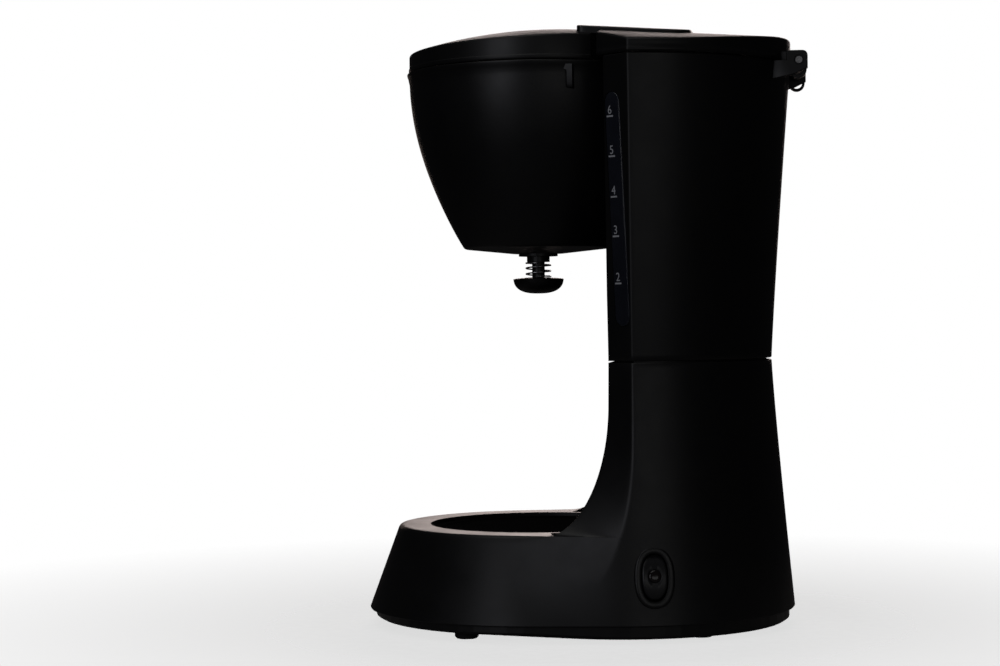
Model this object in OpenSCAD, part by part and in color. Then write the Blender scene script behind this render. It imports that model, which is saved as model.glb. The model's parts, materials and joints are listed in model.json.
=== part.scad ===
// A drip coffee maker for six small cups: a round base with a hotplate, a column that holds the water tank,
// a fixed bucket with a lift-out filter basket, and one hinged lid. The heater, valve and hoses are inside.
// Everything is built around the upright axis of the hotplate and bucket, with +X to the switch side,
// +Y to the rear and +Z up, and is then moved so that the origin is under the middle of the whole machine.

/* [Overall] */
// Distance from the hotplate axis back to the rear edge of the hinge
rear_reach = 122.3; // [122:0.1:124]
// Height of the lid's highest point
total_h = 269; // [268:0.5:270]
// Height of the joint between the two housings
seam_z = 119; // [118:0.5:120]
// Height of the split between the upper housing and the lid
lid_z = 250; // [249.5:0.5:250.5]
// Wall thickness of the moulded shells
wall = 2.5; // [2.2:0.1:2.6]

/* [Base] */
// Radius of the base at its lower edge
base_r = 78.5; // [77.5:0.5:79]
// Height of the lower edge of the lower housing
base_z = 7.5; // [7:0.5:8]
// Height of the ring around the hotplate
ring_z = 45; // [44:0.5:45.5]
// Outer radius of the ring's top
ring_r = 64.5; // [63.5:0.5:65]
// Inner radius of the ring
ring_in_r = 50.5; // [50:0.5:51]
// Radius of the hotplate
hotplate_r = 49.2; // [48.5:0.1:49.4]
// Height of the rubber feet
foot_h = 3.5; // [3:0.5:4]
// Radius of a rubber foot
foot_r = 5.5; // [5:0.5:6]

/* [Column] */
// Y of the centre of the column's round back
column_y = 38; // [37.5:0.5:38.5]
// Radius of the column at the joint between the housings
waist_r = 67.3; // [66.7:0.1:67.5]
// Radius of the column at its foot
foot_column_r = 76.7; // [76:0.1:77]
// Radius of the column under the lid
top_r = 76.8; // [76.3:0.1:76.9]
// Y of the flat front of the column above the carafe
front_y = 35.5; // [35:0.5:36]
// Width of the slanted corner on each side of the column's front
chamfer = 10.5; // [10:0.5:11]
// Radius of the hollow in the column's front that clears the carafe
niche_r = 68; // [67.5:0.5:68.5]
// Height at which the hollow starts to sweep down to the ring
cove_z = 96; // [94:1:98]

/* [Bucket] */
// Outer radius of the bucket under its lip
bucket_r = 57.8; // [57.5:0.1:58.1]
// Radius of the bucket's lip
lip_r = 58.9; // [58.7:0.1:59.1]
// Outer radius of the bucket's bottom edge
bucket_bottom_r = 33.4; // [33:0.1:34]
// Height of the bucket's bottom edge
bucket_z = 169.8; // [169.5:0.1:170.5]
// Radius of the drip-stop's flange
hub_r = 8.9; // [8.6:0.1:9]
// Radius of the drip-stop's cap
cap_r = 11.6; // [11:0.1:12]
// Travel of the drip-stop
drip_travel = 5; // [4:0.5:5]

/* [Water window] */
// Height of the window's lower end
window_z0 = 134; // [133:0.5:135]
// Height of the window's upper end
window_z1 = 234; // [233:0.5:235]
// Width of the window
window_w = 9.4; // [9:0.1:9.6]

/* [Switch] */
// Height of the middle of the switch
switch_z = 28; // [27.5:0.1:28.5]
// Angle of the switch around the column's round back, from the +X side
switch_turn = 13.5; // [13:0.5:14]
// Width of the switch bezel
bezel_w = 17.6; // [17:0.1:18]
// Height of the switch bezel
bezel_h = 26.4; // [26:0.1:27]
// Width of the rocker button
button_w = 11; // [10.6:0.1:11.2]
// Height of the rocker button
button_h = 19.6; // [19.2:0.1:19.8]
// Tilt of the rocker to each side of level
rocker_tilt = 5; // [4:0.5:5]

/* [Cord inlet] */
// Radius of the hole for the cord in its gland
gland_bore_r = 3.5; // [3.3:0.1:3.7]
// Height of the gland
gland_z = 24; // [23:1:25]
// Angle of the gland around the column's round back, from the rear towards the side without the switch
gland_turn = 26; // [24:1:27]

/* [Hidden] */

$fn = 64;
eps = 0.01;
// The machine's front is the base's front edge, so this moves the middle of its depth to the origin.
axis_shift = (rear_reach - base_r) / 2;
steps = 8;
far = 200;
skin = 0.3;
seam_gap = 0.8;
seam_depth = 2.7;
housing_top = lid_z - 0.5;

black = [0.045, 0.046, 0.05];
satin = [0.06, 0.062, 0.066];
grey = [0.35, 0.36, 0.38];
steel = [0.72, 0.73, 0.75];
brass = [0.78, 0.62, 0.3];
milky = [0.88, 0.88, 0.86];
clear = [0.5, 0.56, 0.62, 0.5];
rubber = [0.09, 0.09, 0.09];
white_rubber = [0.9, 0.9, 0.88];

// Moves a piece from the hotplate axis to its place over the origin.
module seat() {
    translate([0, -axis_shift, 0]) children();
}

// Puts the same piece on both sides of the machine.
module both_sides() {
    children();
    mirror([1, 0, 0]) children();
}

// The column's radius at a height: wide at the foot, narrow at the joint, wider again under the lid.
function column_r(z) = z < seam_z
    ? waist_r + (foot_column_r - waist_r) * pow((seam_z - z) / (seam_z - base_z), 1.15)
    : waist_r + (top_r - waist_r) * pow((z - seam_z) / (lid_z - seam_z), 1.12);

// A quarter-ellipse that runs from high at the cove's top down to low at the ring.
function sweep(z, low, high) = z >= cove_z
    ? high
    : high - (high - low) * (1 - sqrt(1 - pow((cove_z - z) / (cove_z - ring_z), 2)));

// Y of the column's front and the radius of the hollow, at a height.
function front_at(z) = sweep(max(z, ring_z), 12, front_y);
function niche_at(z) = sweep(max(z, ring_z), ring_in_r, niche_r);

// The bucket's outer radius at a height.
function bucket_at(z) = bucket_bottom_r
    + (bucket_r - bucket_bottom_r) * pow(sin(90 * (z - bucket_z) / (lid_z - 3 - bucket_z)), 0.9);

function level(z0, z1, i, n) = z0 + (z1 - z0) * i / n;
function oval(w, h, n = 40) = [for (i = [0:n - 1])
    let (a = 360 * i / n, c = cos(a), s = sin(a))
    [sign(c) * pow(abs(c), 0.85) * w / 2, sign(s) * pow(abs(s), 0.85) * h / 2]];

// The column as a full round body, cut in front by the swept front and by the two slanted corners.
// The cuts bend at heights halfway between those of the round body.
module column_body(z0, z1, inset, n = steps) {
    heights = [for (i = [0:n]) level(z0, z1, i, n)];
    cuts = concat([z0 - 2], [for (i = [1:n]) level(z0, z1, i - 0.5, n)], [z1 + 2]);
    intersection() {
        translate([0, column_y, 0])
            rotate_extrude()
            polygon(concat(
                [[0, z0]],
                [for (z = heights) [column_r(z) - inset, z]],
                [[0, z1]]
            ));
        rotate([90, 0, 90])
            linear_extrude(height = 2 * far, center = true)
            polygon(concat(
                [[far, cuts[0]]],
                [for (z = cuts) [front_at(z) + inset, z]],
                [[far, cuts[n + 1]]]
            ));
        corner_limit(cuts, inset);
        mirror([1, 0, 0]) corner_limit(cuts, inset);
    }
}

// Everything behind one slanted corner of the column.
module corner_limit(cuts, inset) {
    rotate([90, 0, -45])
        linear_extrude(height = 3 * far, center = true)
        polygon(concat(
            [[-far, cuts[0]]],
            [for (z = cuts) [(column_r(z) - chamfer - front_at(z)) / sqrt(2) - inset, z]],
            [[-far, cuts[len(cuts) - 1]]]
        ));
}

// The round hollow in front of the column, grown by a wall's thickness for the inside of that wall.
module niche(z0, z1, grow, n = 5) {
    rotate_extrude()
        polygon(concat(
            [[0, z0]],
            [for (i = [0:n]) let (z = level(z0, z1, i, n)) [niche_at(z) + grow, z]],
            [[0, z1]]
        ));
}

// The bucket as a solid cup of revolution, or its inside when inset by the wall.
module bucket_body(z0, z1, inset, n = 10) {
    rotate_extrude()
        polygon(concat(
            [[0, z0]],
            [for (i = [0:n]) let (z = level(z0, z1, i, n)) [bucket_at(min(max(z, bucket_z), lid_z - 3)) - inset, z]],
            [[0, z1]]
        ));
}

// The base: a round front and a round back, both sloping inwards to the level of the ring.
module base_body(inset, bottom, top) {
    hull() {
        translate([0, 0, bottom]) cylinder(h = eps, r = base_r - inset);
        translate([0, column_y, bottom]) cylinder(h = eps, r = foot_column_r - inset);
        translate([0, 0, top - eps]) cylinder(h = eps, r = ring_r - inset);
        translate([0, column_y, top - eps]) cylinder(h = eps, r = column_r(ring_z) - inset);
    }
}

// The switch's own frame: x out of the wall, y across, z up along it.
wall_lean = 7;
switch_r = column_r(switch_z) - 1.2;
module at_switch() {
    translate([switch_r * cos(switch_turn), column_y + switch_r * sin(switch_turn), switch_z])
        rotate([0, -wall_lean, switch_turn])
        children();
}

// An oval plate in the switch's frame, from x0 to x1 out of the wall.
module switch_oval(w, h, x0, x1) {
    translate([x0, 0, 0])
        rotate([90, 0, 90])
        linear_extrude(height = x1 - x0)
        polygon(oval(w, h));
}

// The window's own frame, on the slanted corner of the column.
window_mid = (window_z0 + window_z1) / 2;
window_l = window_z1 - window_z0;
window_lean = atan((column_r(window_z1) - column_r(window_z0)) / sqrt(2) / window_l);
module at_window() {
    r = column_r(window_mid);
    translate([r - chamfer / 2, front_y + chamfer / 2, window_mid])
        rotate([0, window_lean, -45])
        children();
}

// A bar with round ends in the window's frame, from x0 to x1 out of the wall.
module window_bar(w, l, x0, x1) {
    translate([x0, 0, 0])
        rotate([0, 90, 0])
        linear_extrude(height = x1 - x0)
        union() {
            square([l - w, w], center = true);
            translate([(l - w) / 2, 0]) circle(d = w);
            translate([-(l - w) / 2, 0]) circle(d = w);
        }
}

// Places along the lower and upper fastenings.
screw_spots = [[56, 52], [-56, 52], [44, 78], [-44, 78]];
cover_spots = [[52, -34], [-52, -34], [40, 90], [-40, 90]];
foot_spots = [[57, -27], [-57, -27], [48, 74], [-48, 74]];
hose_x = 24;
hose_y = 84;
hose_r = 5;
tube_r = 4;
bend_r = 14;
tube_z = 30;

// ---- Base and lower column ----

ledge_z = ring_z - 4;
module lower_housing() color(black) seat() {
    difference() {
        union() {
            base_body(0, base_z, ring_z);
            difference() {
                column_body(ring_z - 1, seam_z - 0.4, skin);
                niche(ring_z, seam_z + 1, 0);
            }
        }
        base_body(wall, base_z - eps, ring_z - wall);
        difference() {
            column_body(ring_z - 6, seam_z + 1, wall + skin);
            niche(ring_z - 8, seam_z + 2, wall);
        }
        translate([0, 0, ledge_z]) cylinder(h = 10, r = ring_in_r);
        translate([0, 0, 30]) cylinder(h = 20, r = ring_in_r - 5);
        at_switch() switch_oval(bezel_w - 3.4, bezel_h - 3.4, -6, 6);
        at_switch() switch_oval(bezel_w + 0.2, bezel_h + 0.2, -0.45, 6);
        at_gland(0) cube([gland_seat + 0.4, gland_seat + 0.4, 16], center = true);
    }
    hotplate_ledge();
    for (s = [-1, 1]) translate([s * post_x, 0, heater_z0 + 0.1]) heater_post();
    for (p = cover_spots) screw_boss(p);
    for (p = screw_spots) column_boss(p);
}

// The shelf that carries the hotplate, joined to the underside of the ring.
module hotplate_ledge() {
    rotate_extrude()
        polygon([
            [ring_in_r - 5.5, ledge_z - wall], [ring_in_r + wall, ledge_z - wall],
            [ring_in_r + wall, ring_z - wall + 0.5], [ring_in_r, ring_z - wall + 0.5],
            [ring_in_r, ledge_z], [ring_in_r - 5.5, ledge_z]
        ]);
}

// A post under the shelf that the heater's bracket is screwed to.
post_x = 49;
module heater_post() {
    difference() {
        cylinder(h = ledge_z - heater_z0 - 1, r = 3.5);
        translate([0, 0, -1]) cylinder(h = 12, r = 1.3);
    }
}

// A rib from a post outwards to the wall around a centre at y, from one height to another.
module wall_rib(p, y, reach, z0, z1) {
    translate([p[0], p[1], z0])
        rotate([0, 0, atan2(p[1] - y, p[0])])
        translate([0, -1, 0])
        cube([reach, 2, z1 - z0]);
}

// A post with a blind screw hole in its lower end.
module screw_boss(p) {
    difference() {
        union() {
            translate([p[0], p[1], base_z + 0.5]) cylinder(h = 22, r = 3.6);
            wall_rib(p, p[1] < 0 ? 0 : column_y, p[1] < 0 ? 10.5 : 9.2, base_z + 3, base_z + 12);
        }
        translate([p[0], p[1], base_z]) cylinder(h = 12, r = 1.3);
    }
}

// A post against the column's wall, with a through hole for the screw from below.
module column_boss(p) {
    difference() {
        union() {
            translate([p[0], p[1], seam_z - 22]) cylinder(h = 21.6, r = 3.4);
            wall_rib(p, column_y, 9, seam_z - 19, seam_z - 3);
        }
        translate([p[0], p[1], seam_z - 23]) cylinder(h = 17, r = 2.9);
        translate([p[0], p[1], seam_z - 12]) cylinder(h = 14, r = 1.7);
    }
}

// The cover reaches lower at the rear than at the front.
rear_floor_z = foot_h - 1.7;
module bottom_cover() color(satin) seat() {
    difference() {
        union() {
            hull() {
                translate([0, 0, foot_h + 1.2]) cylinder(h = base_z - foot_h - 1.3, r = base_r - 3);
                translate([0, column_y, rear_floor_z + 1.2])
                    cylinder(h = base_z - rear_floor_z - 1.3, r = foot_column_r - 2.6);
                translate([0, 0, foot_h]) cylinder(h = 1, r = base_r - 5);
                translate([0, column_y, rear_floor_z]) cylinder(h = 1, r = foot_column_r - 4.4);
            }
        }
        hull() {
            translate([0, 0, foot_h + 1.8]) cylinder(h = base_z - foot_h, r = base_r - 5.4);
            translate([0, column_y, foot_h + 1.8]) cylinder(h = base_z - foot_h, r = foot_column_r - 5.4);
        }
        for (p = cover_spots) {
            translate([p[0], p[1], 0]) cylinder(h = 12, r = 1.7);
            translate([p[0], p[1], 0]) cylinder(h = foot_h, r = 3);
        }
        for (p = foot_spots) translate([p[0], p[1], 0]) cylinder(h = foot_h + 0.6, r = foot_r + 0.2);
        for (i = [-3:3]) translate([i * 7 - 1.5, 20, 0]) cube([3, 24, 12]);
    }
}

module rubber_feet() color(rubber) seat() {
    for (p = foot_spots)
        translate([p[0], p[1], 0])
            rotate_extrude()
            polygon([[0, 0], [foot_r - 1.2, 0], [foot_r - 0.4, 0.8], [foot_r, foot_h + 0.5], [0, foot_h + 0.5]]);
}

module bottom_cover_screws() color(steel) seat() {
    for (p = cover_spots)
        translate([p[0], p[1], foot_h - 0.8]) {
            cylinder(h = 0.8, r = 2.6);
            cylinder(h = 12, r = 1.25);
        }
}

module housing_screws() color(steel) seat() {
    for (p = screw_spots)
        translate([p[0], p[1], seam_z - 15]) {
            translate([0, 0, 0]) cylinder(h = 2.9, r = 2.7);
            cylinder(h = 20, r = 1.25);
        }
}

// ---- Hotplate and heater ----

module hotplate() color([0.1, 0.1, 0.105]) seat() {
    rotate_extrude()
        polygon([
            [0, ledge_z + 0.6], [hotplate_r - 4, ledge_z + 0.6], [hotplate_r - 3, ledge_z + 1.2],
            [hotplate_r - 3, ledge_z + 1.2], [hotplate_r, ledge_z + 1.2], [hotplate_r, ledge_z + 2.4],
            [hotplate_r - 3.6, ledge_z + 2.4], [hotplate_r - 4.6, ledge_z + 1.8], [0, ledge_z + 1.8]
        ]);
}

module hotplate_gasket() color(white_rubber) seat() {
    translate([0, 0, ledge_z])
        difference() {
            cylinder(h = 1.2, r = hotplate_r - 0.2);
            translate([0, 0, -1]) cylinder(h = 4, r = hotplate_r - 2.9);
        }
}

heater_r0 = 20;
heater_r1 = 37;
heater_z0 = 25;
heater_z1 = ledge_z + 0.6;
heater_open = 70;
tube_ring_r = 25;
rod_ring_r = 32.5;
rod_open = 100;

// A bent bar of round section around the hotplate axis, open at the rear.
module heater_ring(r, bar_r, z, open) {
    translate([0, 0, z])
        rotate([0, 0, 90 + open / 2])
        rotate_extrude(angle = 360 - open)
        translate([r, 0])
        circle(r = bar_r);
}

module heater_casting() color(steel) seat() {
    difference() {
        translate([0, 0, heater_z0])
            rotate([0, 0, 90 + rod_open / 2 + 3])
            rotate_extrude(angle = 360 - rod_open - 6)
            translate([heater_r0, 0])
            square([heater_r1 - heater_r0, heater_z1 - heater_z0]);
        heater_ring(tube_ring_r, tube_r, tube_z, heater_open);
        heater_ring(rod_ring_r, 3, tube_z + 3, rod_open);
    }
}

// The tube that carries the water through the casting, with a straight end towards each hose.
module heater_water_tube() color(steel) seat() {
    difference() {
        union() {
            heater_ring(tube_ring_r, tube_r, tube_z, heater_open);
            tube_ends(tube_r);
        }
        heater_ring(tube_ring_r, tube_r - 1, tube_z, heater_open);
        tube_ends(tube_r - 1);
    }
}

tube_end = [tube_ring_r * sin(heater_open / 2), tube_ring_r * cos(heater_open / 2)];
tube_turn = atan((hose_x - tube_end[0]) / (hose_y - bend_r - tube_end[1]));
tube_run = hose_y - bend_r - tube_end[1];
module tube_ends(r) {
    both_sides()
        translate([tube_end[0], tube_end[1], tube_z])
        rotate([-90, 0, -tube_turn])
        translate([0, 0, -2])
        cylinder(h = tube_run * 0.72, r = r);
}

module heating_rod() color(grey) seat() {
    heater_ring(rod_ring_r, 3, tube_z + 3, rod_open);
    both_sides()
        translate([rod_ring_r * sin(rod_open / 2), rod_ring_r * cos(rod_open / 2), tube_z + 3])
        rotate([-90, 0, 0])
        translate([0, 0, -1.5]) {
            cylinder(h = 12, r = 3);
            cylinder(h = 20, r = 1.2);
        }
}

module heater_bracket() color(steel) seat() {
    difference() {
        translate([-post_x - 4, -7, heater_z0 - 1.5]) cube([2 * post_x + 8, 14, 1.5]);
        for (s = [-1, 1]) translate([s * post_x, 0, 0]) cylinder(h = 60, r = 1.7);
        cylinder(h = 60, r = 8);
    }
}

module heater_screws() color(steel) seat() {
    for (s = [-1, 1])
        translate([s * post_x, 0, heater_z0 - 3]) {
            cylinder(h = 1.5, r = 2.8);
            cylinder(h = 12, r = 1.25);
        }
}

module thermostat() color([0.2, 0.16, 0.13]) seat() {
    translate([0, 0, heater_z0 - 1.5]) cylinder(h = heater_z1 - heater_z0 + 1.5 - 0.3, r = 7.5);
    for (s = [-1, 1]) translate([s * 5 - 2, -0.4, heater_z0 - 7.5]) cube([4, 0.8, 6]);
}

module thermal_fuses() color(milky) seat() {
    for (s = [-1, 1])
        translate([s * 11 - 0, 14, heater_z0 - 3.2])
            rotate([-90, 0, 0])
            cylinder(h = 22, r = 2.4);
}

// ---- Water path ----

// A hose from the heater's end, round a bend and up to a height.
module hose_path(r, top) {
    translate([hose_x, hose_y - bend_r, tube_z]) {
        rotate([90, 0, 0]) cylinder(h = 10, r = r);
        translate([0, 0, bend_r])
            rotate([0, 90, 0])
            rotate_extrude(angle = 90)
            translate([bend_r, 0])
            circle(r = r);
        translate([0, bend_r, bend_r]) cylinder(h = top - tube_z - bend_r, r = r);
    }
}

module hose(top) {
    difference() {
        hose_path(hose_r, top);
        hose_path(hose_r - 1.2, top + 1);
        translate([hose_x, hose_y - bend_r - 9.9, tube_z]) rotate([90, 0, 0]) cylinder(h = 2, r = hose_r - 1.2);
    }
}

valve_z = 84;
valve_top = seam_z + 4.4 - (valve_z - 8);
spigot_z = 104;
module inlet_hose() color(milky) seat() hose(valve_z + 2);

module outlet_hose() color(milky) seat() mirror([1, 0, 0]) hose(spigot_z);

module hose_clips() color(steel) seat() {
    for (c = [[1, valve_z - 7], [-1, spigot_z - 8]])
        translate([c[0] * hose_x, hose_y, c[1]])
            clip_ring();
    for (s = [-1, 1])
        translate([s * hose_x, hose_y - bend_r - 3, tube_z])
            rotate([90, 0, 0])
            clip_ring();
}

module clip_ring() {
    difference() {
        union() {
            cylinder(h = 4, r = hose_r + 0.9);
            translate([hose_r, -2.4, 0]) cube([3.4, 4.8, 4]);
        }
        translate([0, 0, -1]) cylinder(h = 6, r = hose_r);
        translate([hose_r - 1, -0.6, -1]) cube([6, 1.2, 6]);
    }
}

// A one-way valve between the tank and the hose: the ball rests on the seat, and water falls past it.
module check_valve_body() color(milky) seat() {
    translate([hose_x, hose_y, valve_z - 8])
        rotate_extrude()
        polygon([
            [2.4, 0], [3.75, 0], [3.75, 10], [6.5, 12], [6.5, 24], [4.15, 26], [4.15, valve_top], [2, valve_top],
            [2, 26], [5.3, 23], [5.3, 14], [1.9, 11], [1.9, 8], [2.4, 7]
        ]);
}

ball_r = 2.6;
module check_ball() color(steel) seat() {
    translate([hose_x, hose_y, valve_z + 4.86]) sphere(r = ball_r);
}

module tank_strainer() color(satin) seat() {
    translate([hose_x, hose_y, seam_z + wall + 0.6])
        difference() {
            cylinder(h = 7, r = 8.8);
            translate([0, 0, -1]) cylinder(h = 7, r = 7.7);
            for (i = [0:5]) rotate([0, 0, 60 * i]) translate([5, -1, 1.4]) cube([6, 2, 3.6]);
        }
}

module outlet_seal() color(rubber) seat() {
    translate([hose_x, hose_y, seam_z - 1.6]) ring_seal();
}

module riser_seal() color(rubber) seat() {
    translate([-hose_x, hose_y, seam_z - 1.6]) ring_seal();
}

// A grommet with a groove that grips the tank's floor.
module ring_seal() {
    rotate_extrude()
        polygon([[4.2, 0], [7.4, 0], [7.4, 1], [6, 1], [6, 5], [7.4, 5], [7.4, 5.6], [4.2, 5.6]]);
}

riser_top = lid_z - 4;
module riser_tube() color(milky) seat() {
    translate([-hose_x, hose_y, spigot_z - 8])
        difference() {
            union() {
                cylinder(h = 12, r = hose_r - 1.25);
                translate([0, 0, 12 - eps]) cylinder(h = riser_top - spigot_z - 4, r = 4.15);
            }
            translate([0, 0, -1]) cylinder(h = riser_top, r = 2.8);
        }
}

module riser_nozzle() color(satin) seat() {
    translate([-hose_x, hose_y, riser_top - 4])
        difference() {
            union() {
                cylinder(h = 6, r = 5.8);
                cylinder(h = 8.5, r = 3.4);
            }
            translate([0, 0, -1]) cylinder(h = 5, r = 4.2);
            translate([0, 0, -1]) cylinder(h = 12, r = 2);
        }
}

// ---- Upper housing ----

lug_x0 = 26.2;
lug_x1 = 32;
pin_r = 1.5;
pin_y = rear_reach - 3.8;
pin_z = lid_z - 0.4;
module upper_housing() color(black) seat() {
    difference() {
        union() {
            difference() {
                union() {
                    column_body(seam_z + seam_gap - 0.4, housing_top, 0);
                    column_body(seam_z - 0.4, seam_z + 3, seam_depth, 1);
                }
                niche(seam_z - 1, bucket_z, 0, 1);
            }
            bucket_body(bucket_z, housing_top, 0);
            bucket_bottom();
            translate([0, 0, lid_z - 3.4]) cylinder(h = 2.4, r = lip_r);
            both_sides() hinge_lug();
        }
        difference() {
            column_body(seam_z + wall + 0.6, lid_z + 1, wall);
            niche(seam_z, bucket_z + wall, wall, 1);
            bucket_body(bucket_z - 1, lid_z + 2, 0);
            both_sides() tank_post();
        }
        bucket_body(bucket_z + wall, lid_z + 1, wall);
        cylinder(h = far, r = hub_r + 0.7);
        at_window() window_bar(window_w - 2, window_l - 2, -8, 8);
        at_window() window_bar(window_w, window_l, -1.6, 8);
        translate([hose_x, hose_y, seam_z - 2]) cylinder(h = 8, r = 6);
        translate([-hose_x, hose_y, seam_z - 2]) cylinder(h = 8, r = 6);
        for (p = screw_spots) translate([p[0], p[1], seam_z - 1]) cylinder(h = 7, r = 1.3);
        translate([-50, pin_y, pin_z]) rotate([0, 90, 0]) cylinder(h = 100, r = pin_r);
    }
}

// A post in the tank that the screws from the lower housing run into.
module tank_post() {
    for (p = [screw_spots[0], screw_spots[2]]) translate([p[0], p[1], seam_z]) cylinder(h = 9, r = 3.6);
}

// The shallow cone under the bucket that leads down to the drip-stop's opening.
module bucket_bottom() {
    rotate_extrude()
        polygon([
            [0, bucket_z - 2.2], [hub_r + 3, bucket_z - 2.2], [bucket_bottom_r - 1, bucket_z + 0.2],
            [bucket_bottom_r - 1, bucket_z + wall], [0, bucket_z + wall]
        ]);
}

// One ear of the hinge, on the rear wall.
module hinge_lug() {
    translate([lug_x0, 0, 0])
        rotate([90, 0, 90])
        linear_extrude(height = lug_x1 - lug_x0)
        union() {
            polygon([
                [104.5, lid_z - 9], [106, lid_z - 0.6], [pin_y - 5.5, lid_z - 0.6], [pin_y - 5.5, pin_z + 4.2],
                [pin_y + 1.6, pin_z + 4.2], [pin_y + 3.8, pin_z + 2], [pin_y + 3.8, pin_z - 3.4],
                [pin_y - 2, pin_z - 6.2]
            ]);
        }
}

module hinge_pin() color(steel) seat() {
    translate([-lug_x1, pin_y, pin_z])
        rotate([0, 90, 0])
        cylinder(h = 2 * lug_x1, r = pin_r);
}

// A bent strip under each ear that stops the lid when it is open.
module hinge_hook() color(satin) seat() {
    both_sides()
        translate([lug_x0 + 1.4, pin_y - 0.4, pin_z - 4.2])
        rotate([90, 0, 90])
        difference() {
            cylinder(h = 3, r = 3.7);
            translate([0, 0, -1]) cylinder(h = 5, r = 2.5);
            translate([-10, 1.2, -1]) cube([20, 10, 5]);
            translate([-10, -1.4, -1]) cube([8, 10, 5]);
        }
}

module water_window() color(clear) seat() {
    at_window() {
        window_bar(window_w - 0.2, window_l - 0.2, -1.5, 0.1);
        window_bar(window_w - 2.4, window_l - 2.4, -2.6, -1.4);
    }
}

module window_seal() color(rubber) seat() {
    at_window()
        difference() {
            window_bar(window_w - 2.1, window_l - 2.1, -2.7, -1.62);
            window_bar(window_w - 2.35, window_l - 2.35, -4, 0);
        }
}

mark_z = [153, 172.6, 189.4, 206.6, 223.6];
module level_marks() color([0.8, 0.82, 0.85]) seat() {
    at_window()
        for (z = mark_z)
            translate([0.1, -3, z - window_mid - 0.35])
            cube([0.12, 5, 0.7]);
}

// ---- Switch ----

bezel_out = 1.6;
module switch_bezel() color(satin) seat() {
    at_switch()
        difference() {
            union() {
                switch_oval(bezel_w, bezel_h, -0.4, bezel_out);
                switch_oval(bezel_w - 3.8, bezel_h - 3.8, -9, 0);
            }
            switch_oval(button_w + 1.2, button_h + 1.2, -12, 4);
        }
}

pivot_x = -5;
button_face = 2.1;
rock_r = 26;
module rocker_button() color(satin) seat() {
    at_switch()
        rocked()
        difference() {
            intersection() {
                switch_oval(button_w, button_h, -7.4, 6);
                translate([button_face - rock_r, 0, 0]) rotate([90, 0, 0]) cylinder(h = 40, r = rock_r, center = true);
            }
            translate([0.6, 0, 0]) rotate([0, 90, 0]) cylinder(h = 8, r = lens_r + 0.05);
            translate([pivot_x, 0, 0]) rotate([90, 0, 0]) cylinder(h = 40, r = 1.55, center = true);
        }
}

lens_r = 2.6;
module button_lens() color([0.25, 0.03, 0.03]) seat() {
    at_switch()
        rocked()
        intersection() {
            translate([0.6, 0, 0]) rotate([0, 90, 0]) cylinder(h = 8, r = lens_r);
            translate([button_face + 0.35 - 8, 0, 0]) sphere(r = 8);
        }
}

// The rocker at rest leans to its off side, about its pivot.
module rocked() {
    translate([pivot_x, 0, 0])
        rotate([0, -rocker_tilt, 0])
        translate([-pivot_x, 0, 0])
        children();
}

module switch_body() color(black) seat() {
    at_switch() {
        difference() {
            translate([-26, -6.6, -11]) cube([17, 13.2, 22]);
            translate([-13.5, -5.6, -10]) cube([6, 11.2, 20]);
        }
        translate([pivot_x, 0, 0]) rotate([90, 0, 0]) cylinder(h = 12, r = 1.5, center = true);
        for (s = [-1, 1]) translate([-9.4, s * 5.85 - 0.15, -2]) cube([5.4, 0.3, 4]);
    }
}

module switch_terminals() color(brass) seat() {
    at_switch() for (z = [-7, 0, 7]) translate([-33, -2.4, z - 0.4]) cube([7, 4.8, 0.8]);
}

module indicator_lamp() color([0.8, 0.35, 0.2]) seat() {
    at_switch() translate([-13.2, 0, 0]) rotate([0, 90, 0]) cylinder(h = 4, r = 1.6);
}

// ---- Wiring ----

module terminal_block() color(milky) seat() {
    translate([-16, 90, foot_h + 1.9])
        difference() {
            cube([32, 12, 10]);
            for (i = [0:2]) translate([5.5 + 10.5 * i, 6, 4]) cylinder(h = 8, r = 2);
        }
}

wire_r = 1.1;
module inner_wires() color([0.35, 0.12, 0.08]) seat() {
    for (i = [-1:1]) translate([i * 10.5, 90, 12]) rotate([90, 0, 0]) cylinder(h = 24, r = wire_r);
    for (i = [0, 1])
        translate([10.5 + i * 2.6, 66, 12 + i * 3])
            rotate([0, 90, -8 * i])
            cylinder(h = 26, r = wire_r);
}

// The gland's place on the round rear wall, with Z pointing into the machine.
module at_gland(out) {
    translate([0, column_y, gland_z])
        rotate([0, 0, gland_turn])
        translate([0, column_r(gland_z) + out, 0])
        rotate([90, 0, 0])
        children();
}

// The gland in the rear wall that the mains lead would come out of. Its square neck keeps it from turning.
gland_seat = 12.2;
gland_out = 1.6;
gland_l = 9.9;
module cord_gland() color(satin) seat() {
    at_gland(gland_out)
        difference() {
            union() {
                translate([0, 0, -1.4]) cylinder(h = 2, r = 9.4);
                translate([-gland_seat / 2, -gland_seat / 2, -1]) cube([gland_seat, gland_seat, gland_l - 1.4]);
                translate([0, 0, gland_l - 3.4]) cylinder(h = 2, r = 7.6);
            }
            translate([0, 0, -4]) cylinder(h = 16, r = gland_bore_r);
        }
}

// ---- Filter basket, filter and drip-stop ----

basket_gap = 1.3;
basket_wall = 1.8;
basket_z = bucket_z + wall + 0.3;
basket_top = lid_z - 3.5;
hub_z = bucket_z - 3.4;
tier_z = bucket_z - 6;
function basket_at(z) = bucket_at(min(z, lid_z - 3)) - wall - basket_gap;

module basket_shape(z0, z1, inset, n = 8) {
    rotate_extrude()
        polygon(concat(
            [[0, z0]],
            [for (i = [0:n]) let (z = level(z0, z1, i, n)) [basket_at(z) - inset, z]],
            [[0, z1]]
        ));
}

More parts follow.
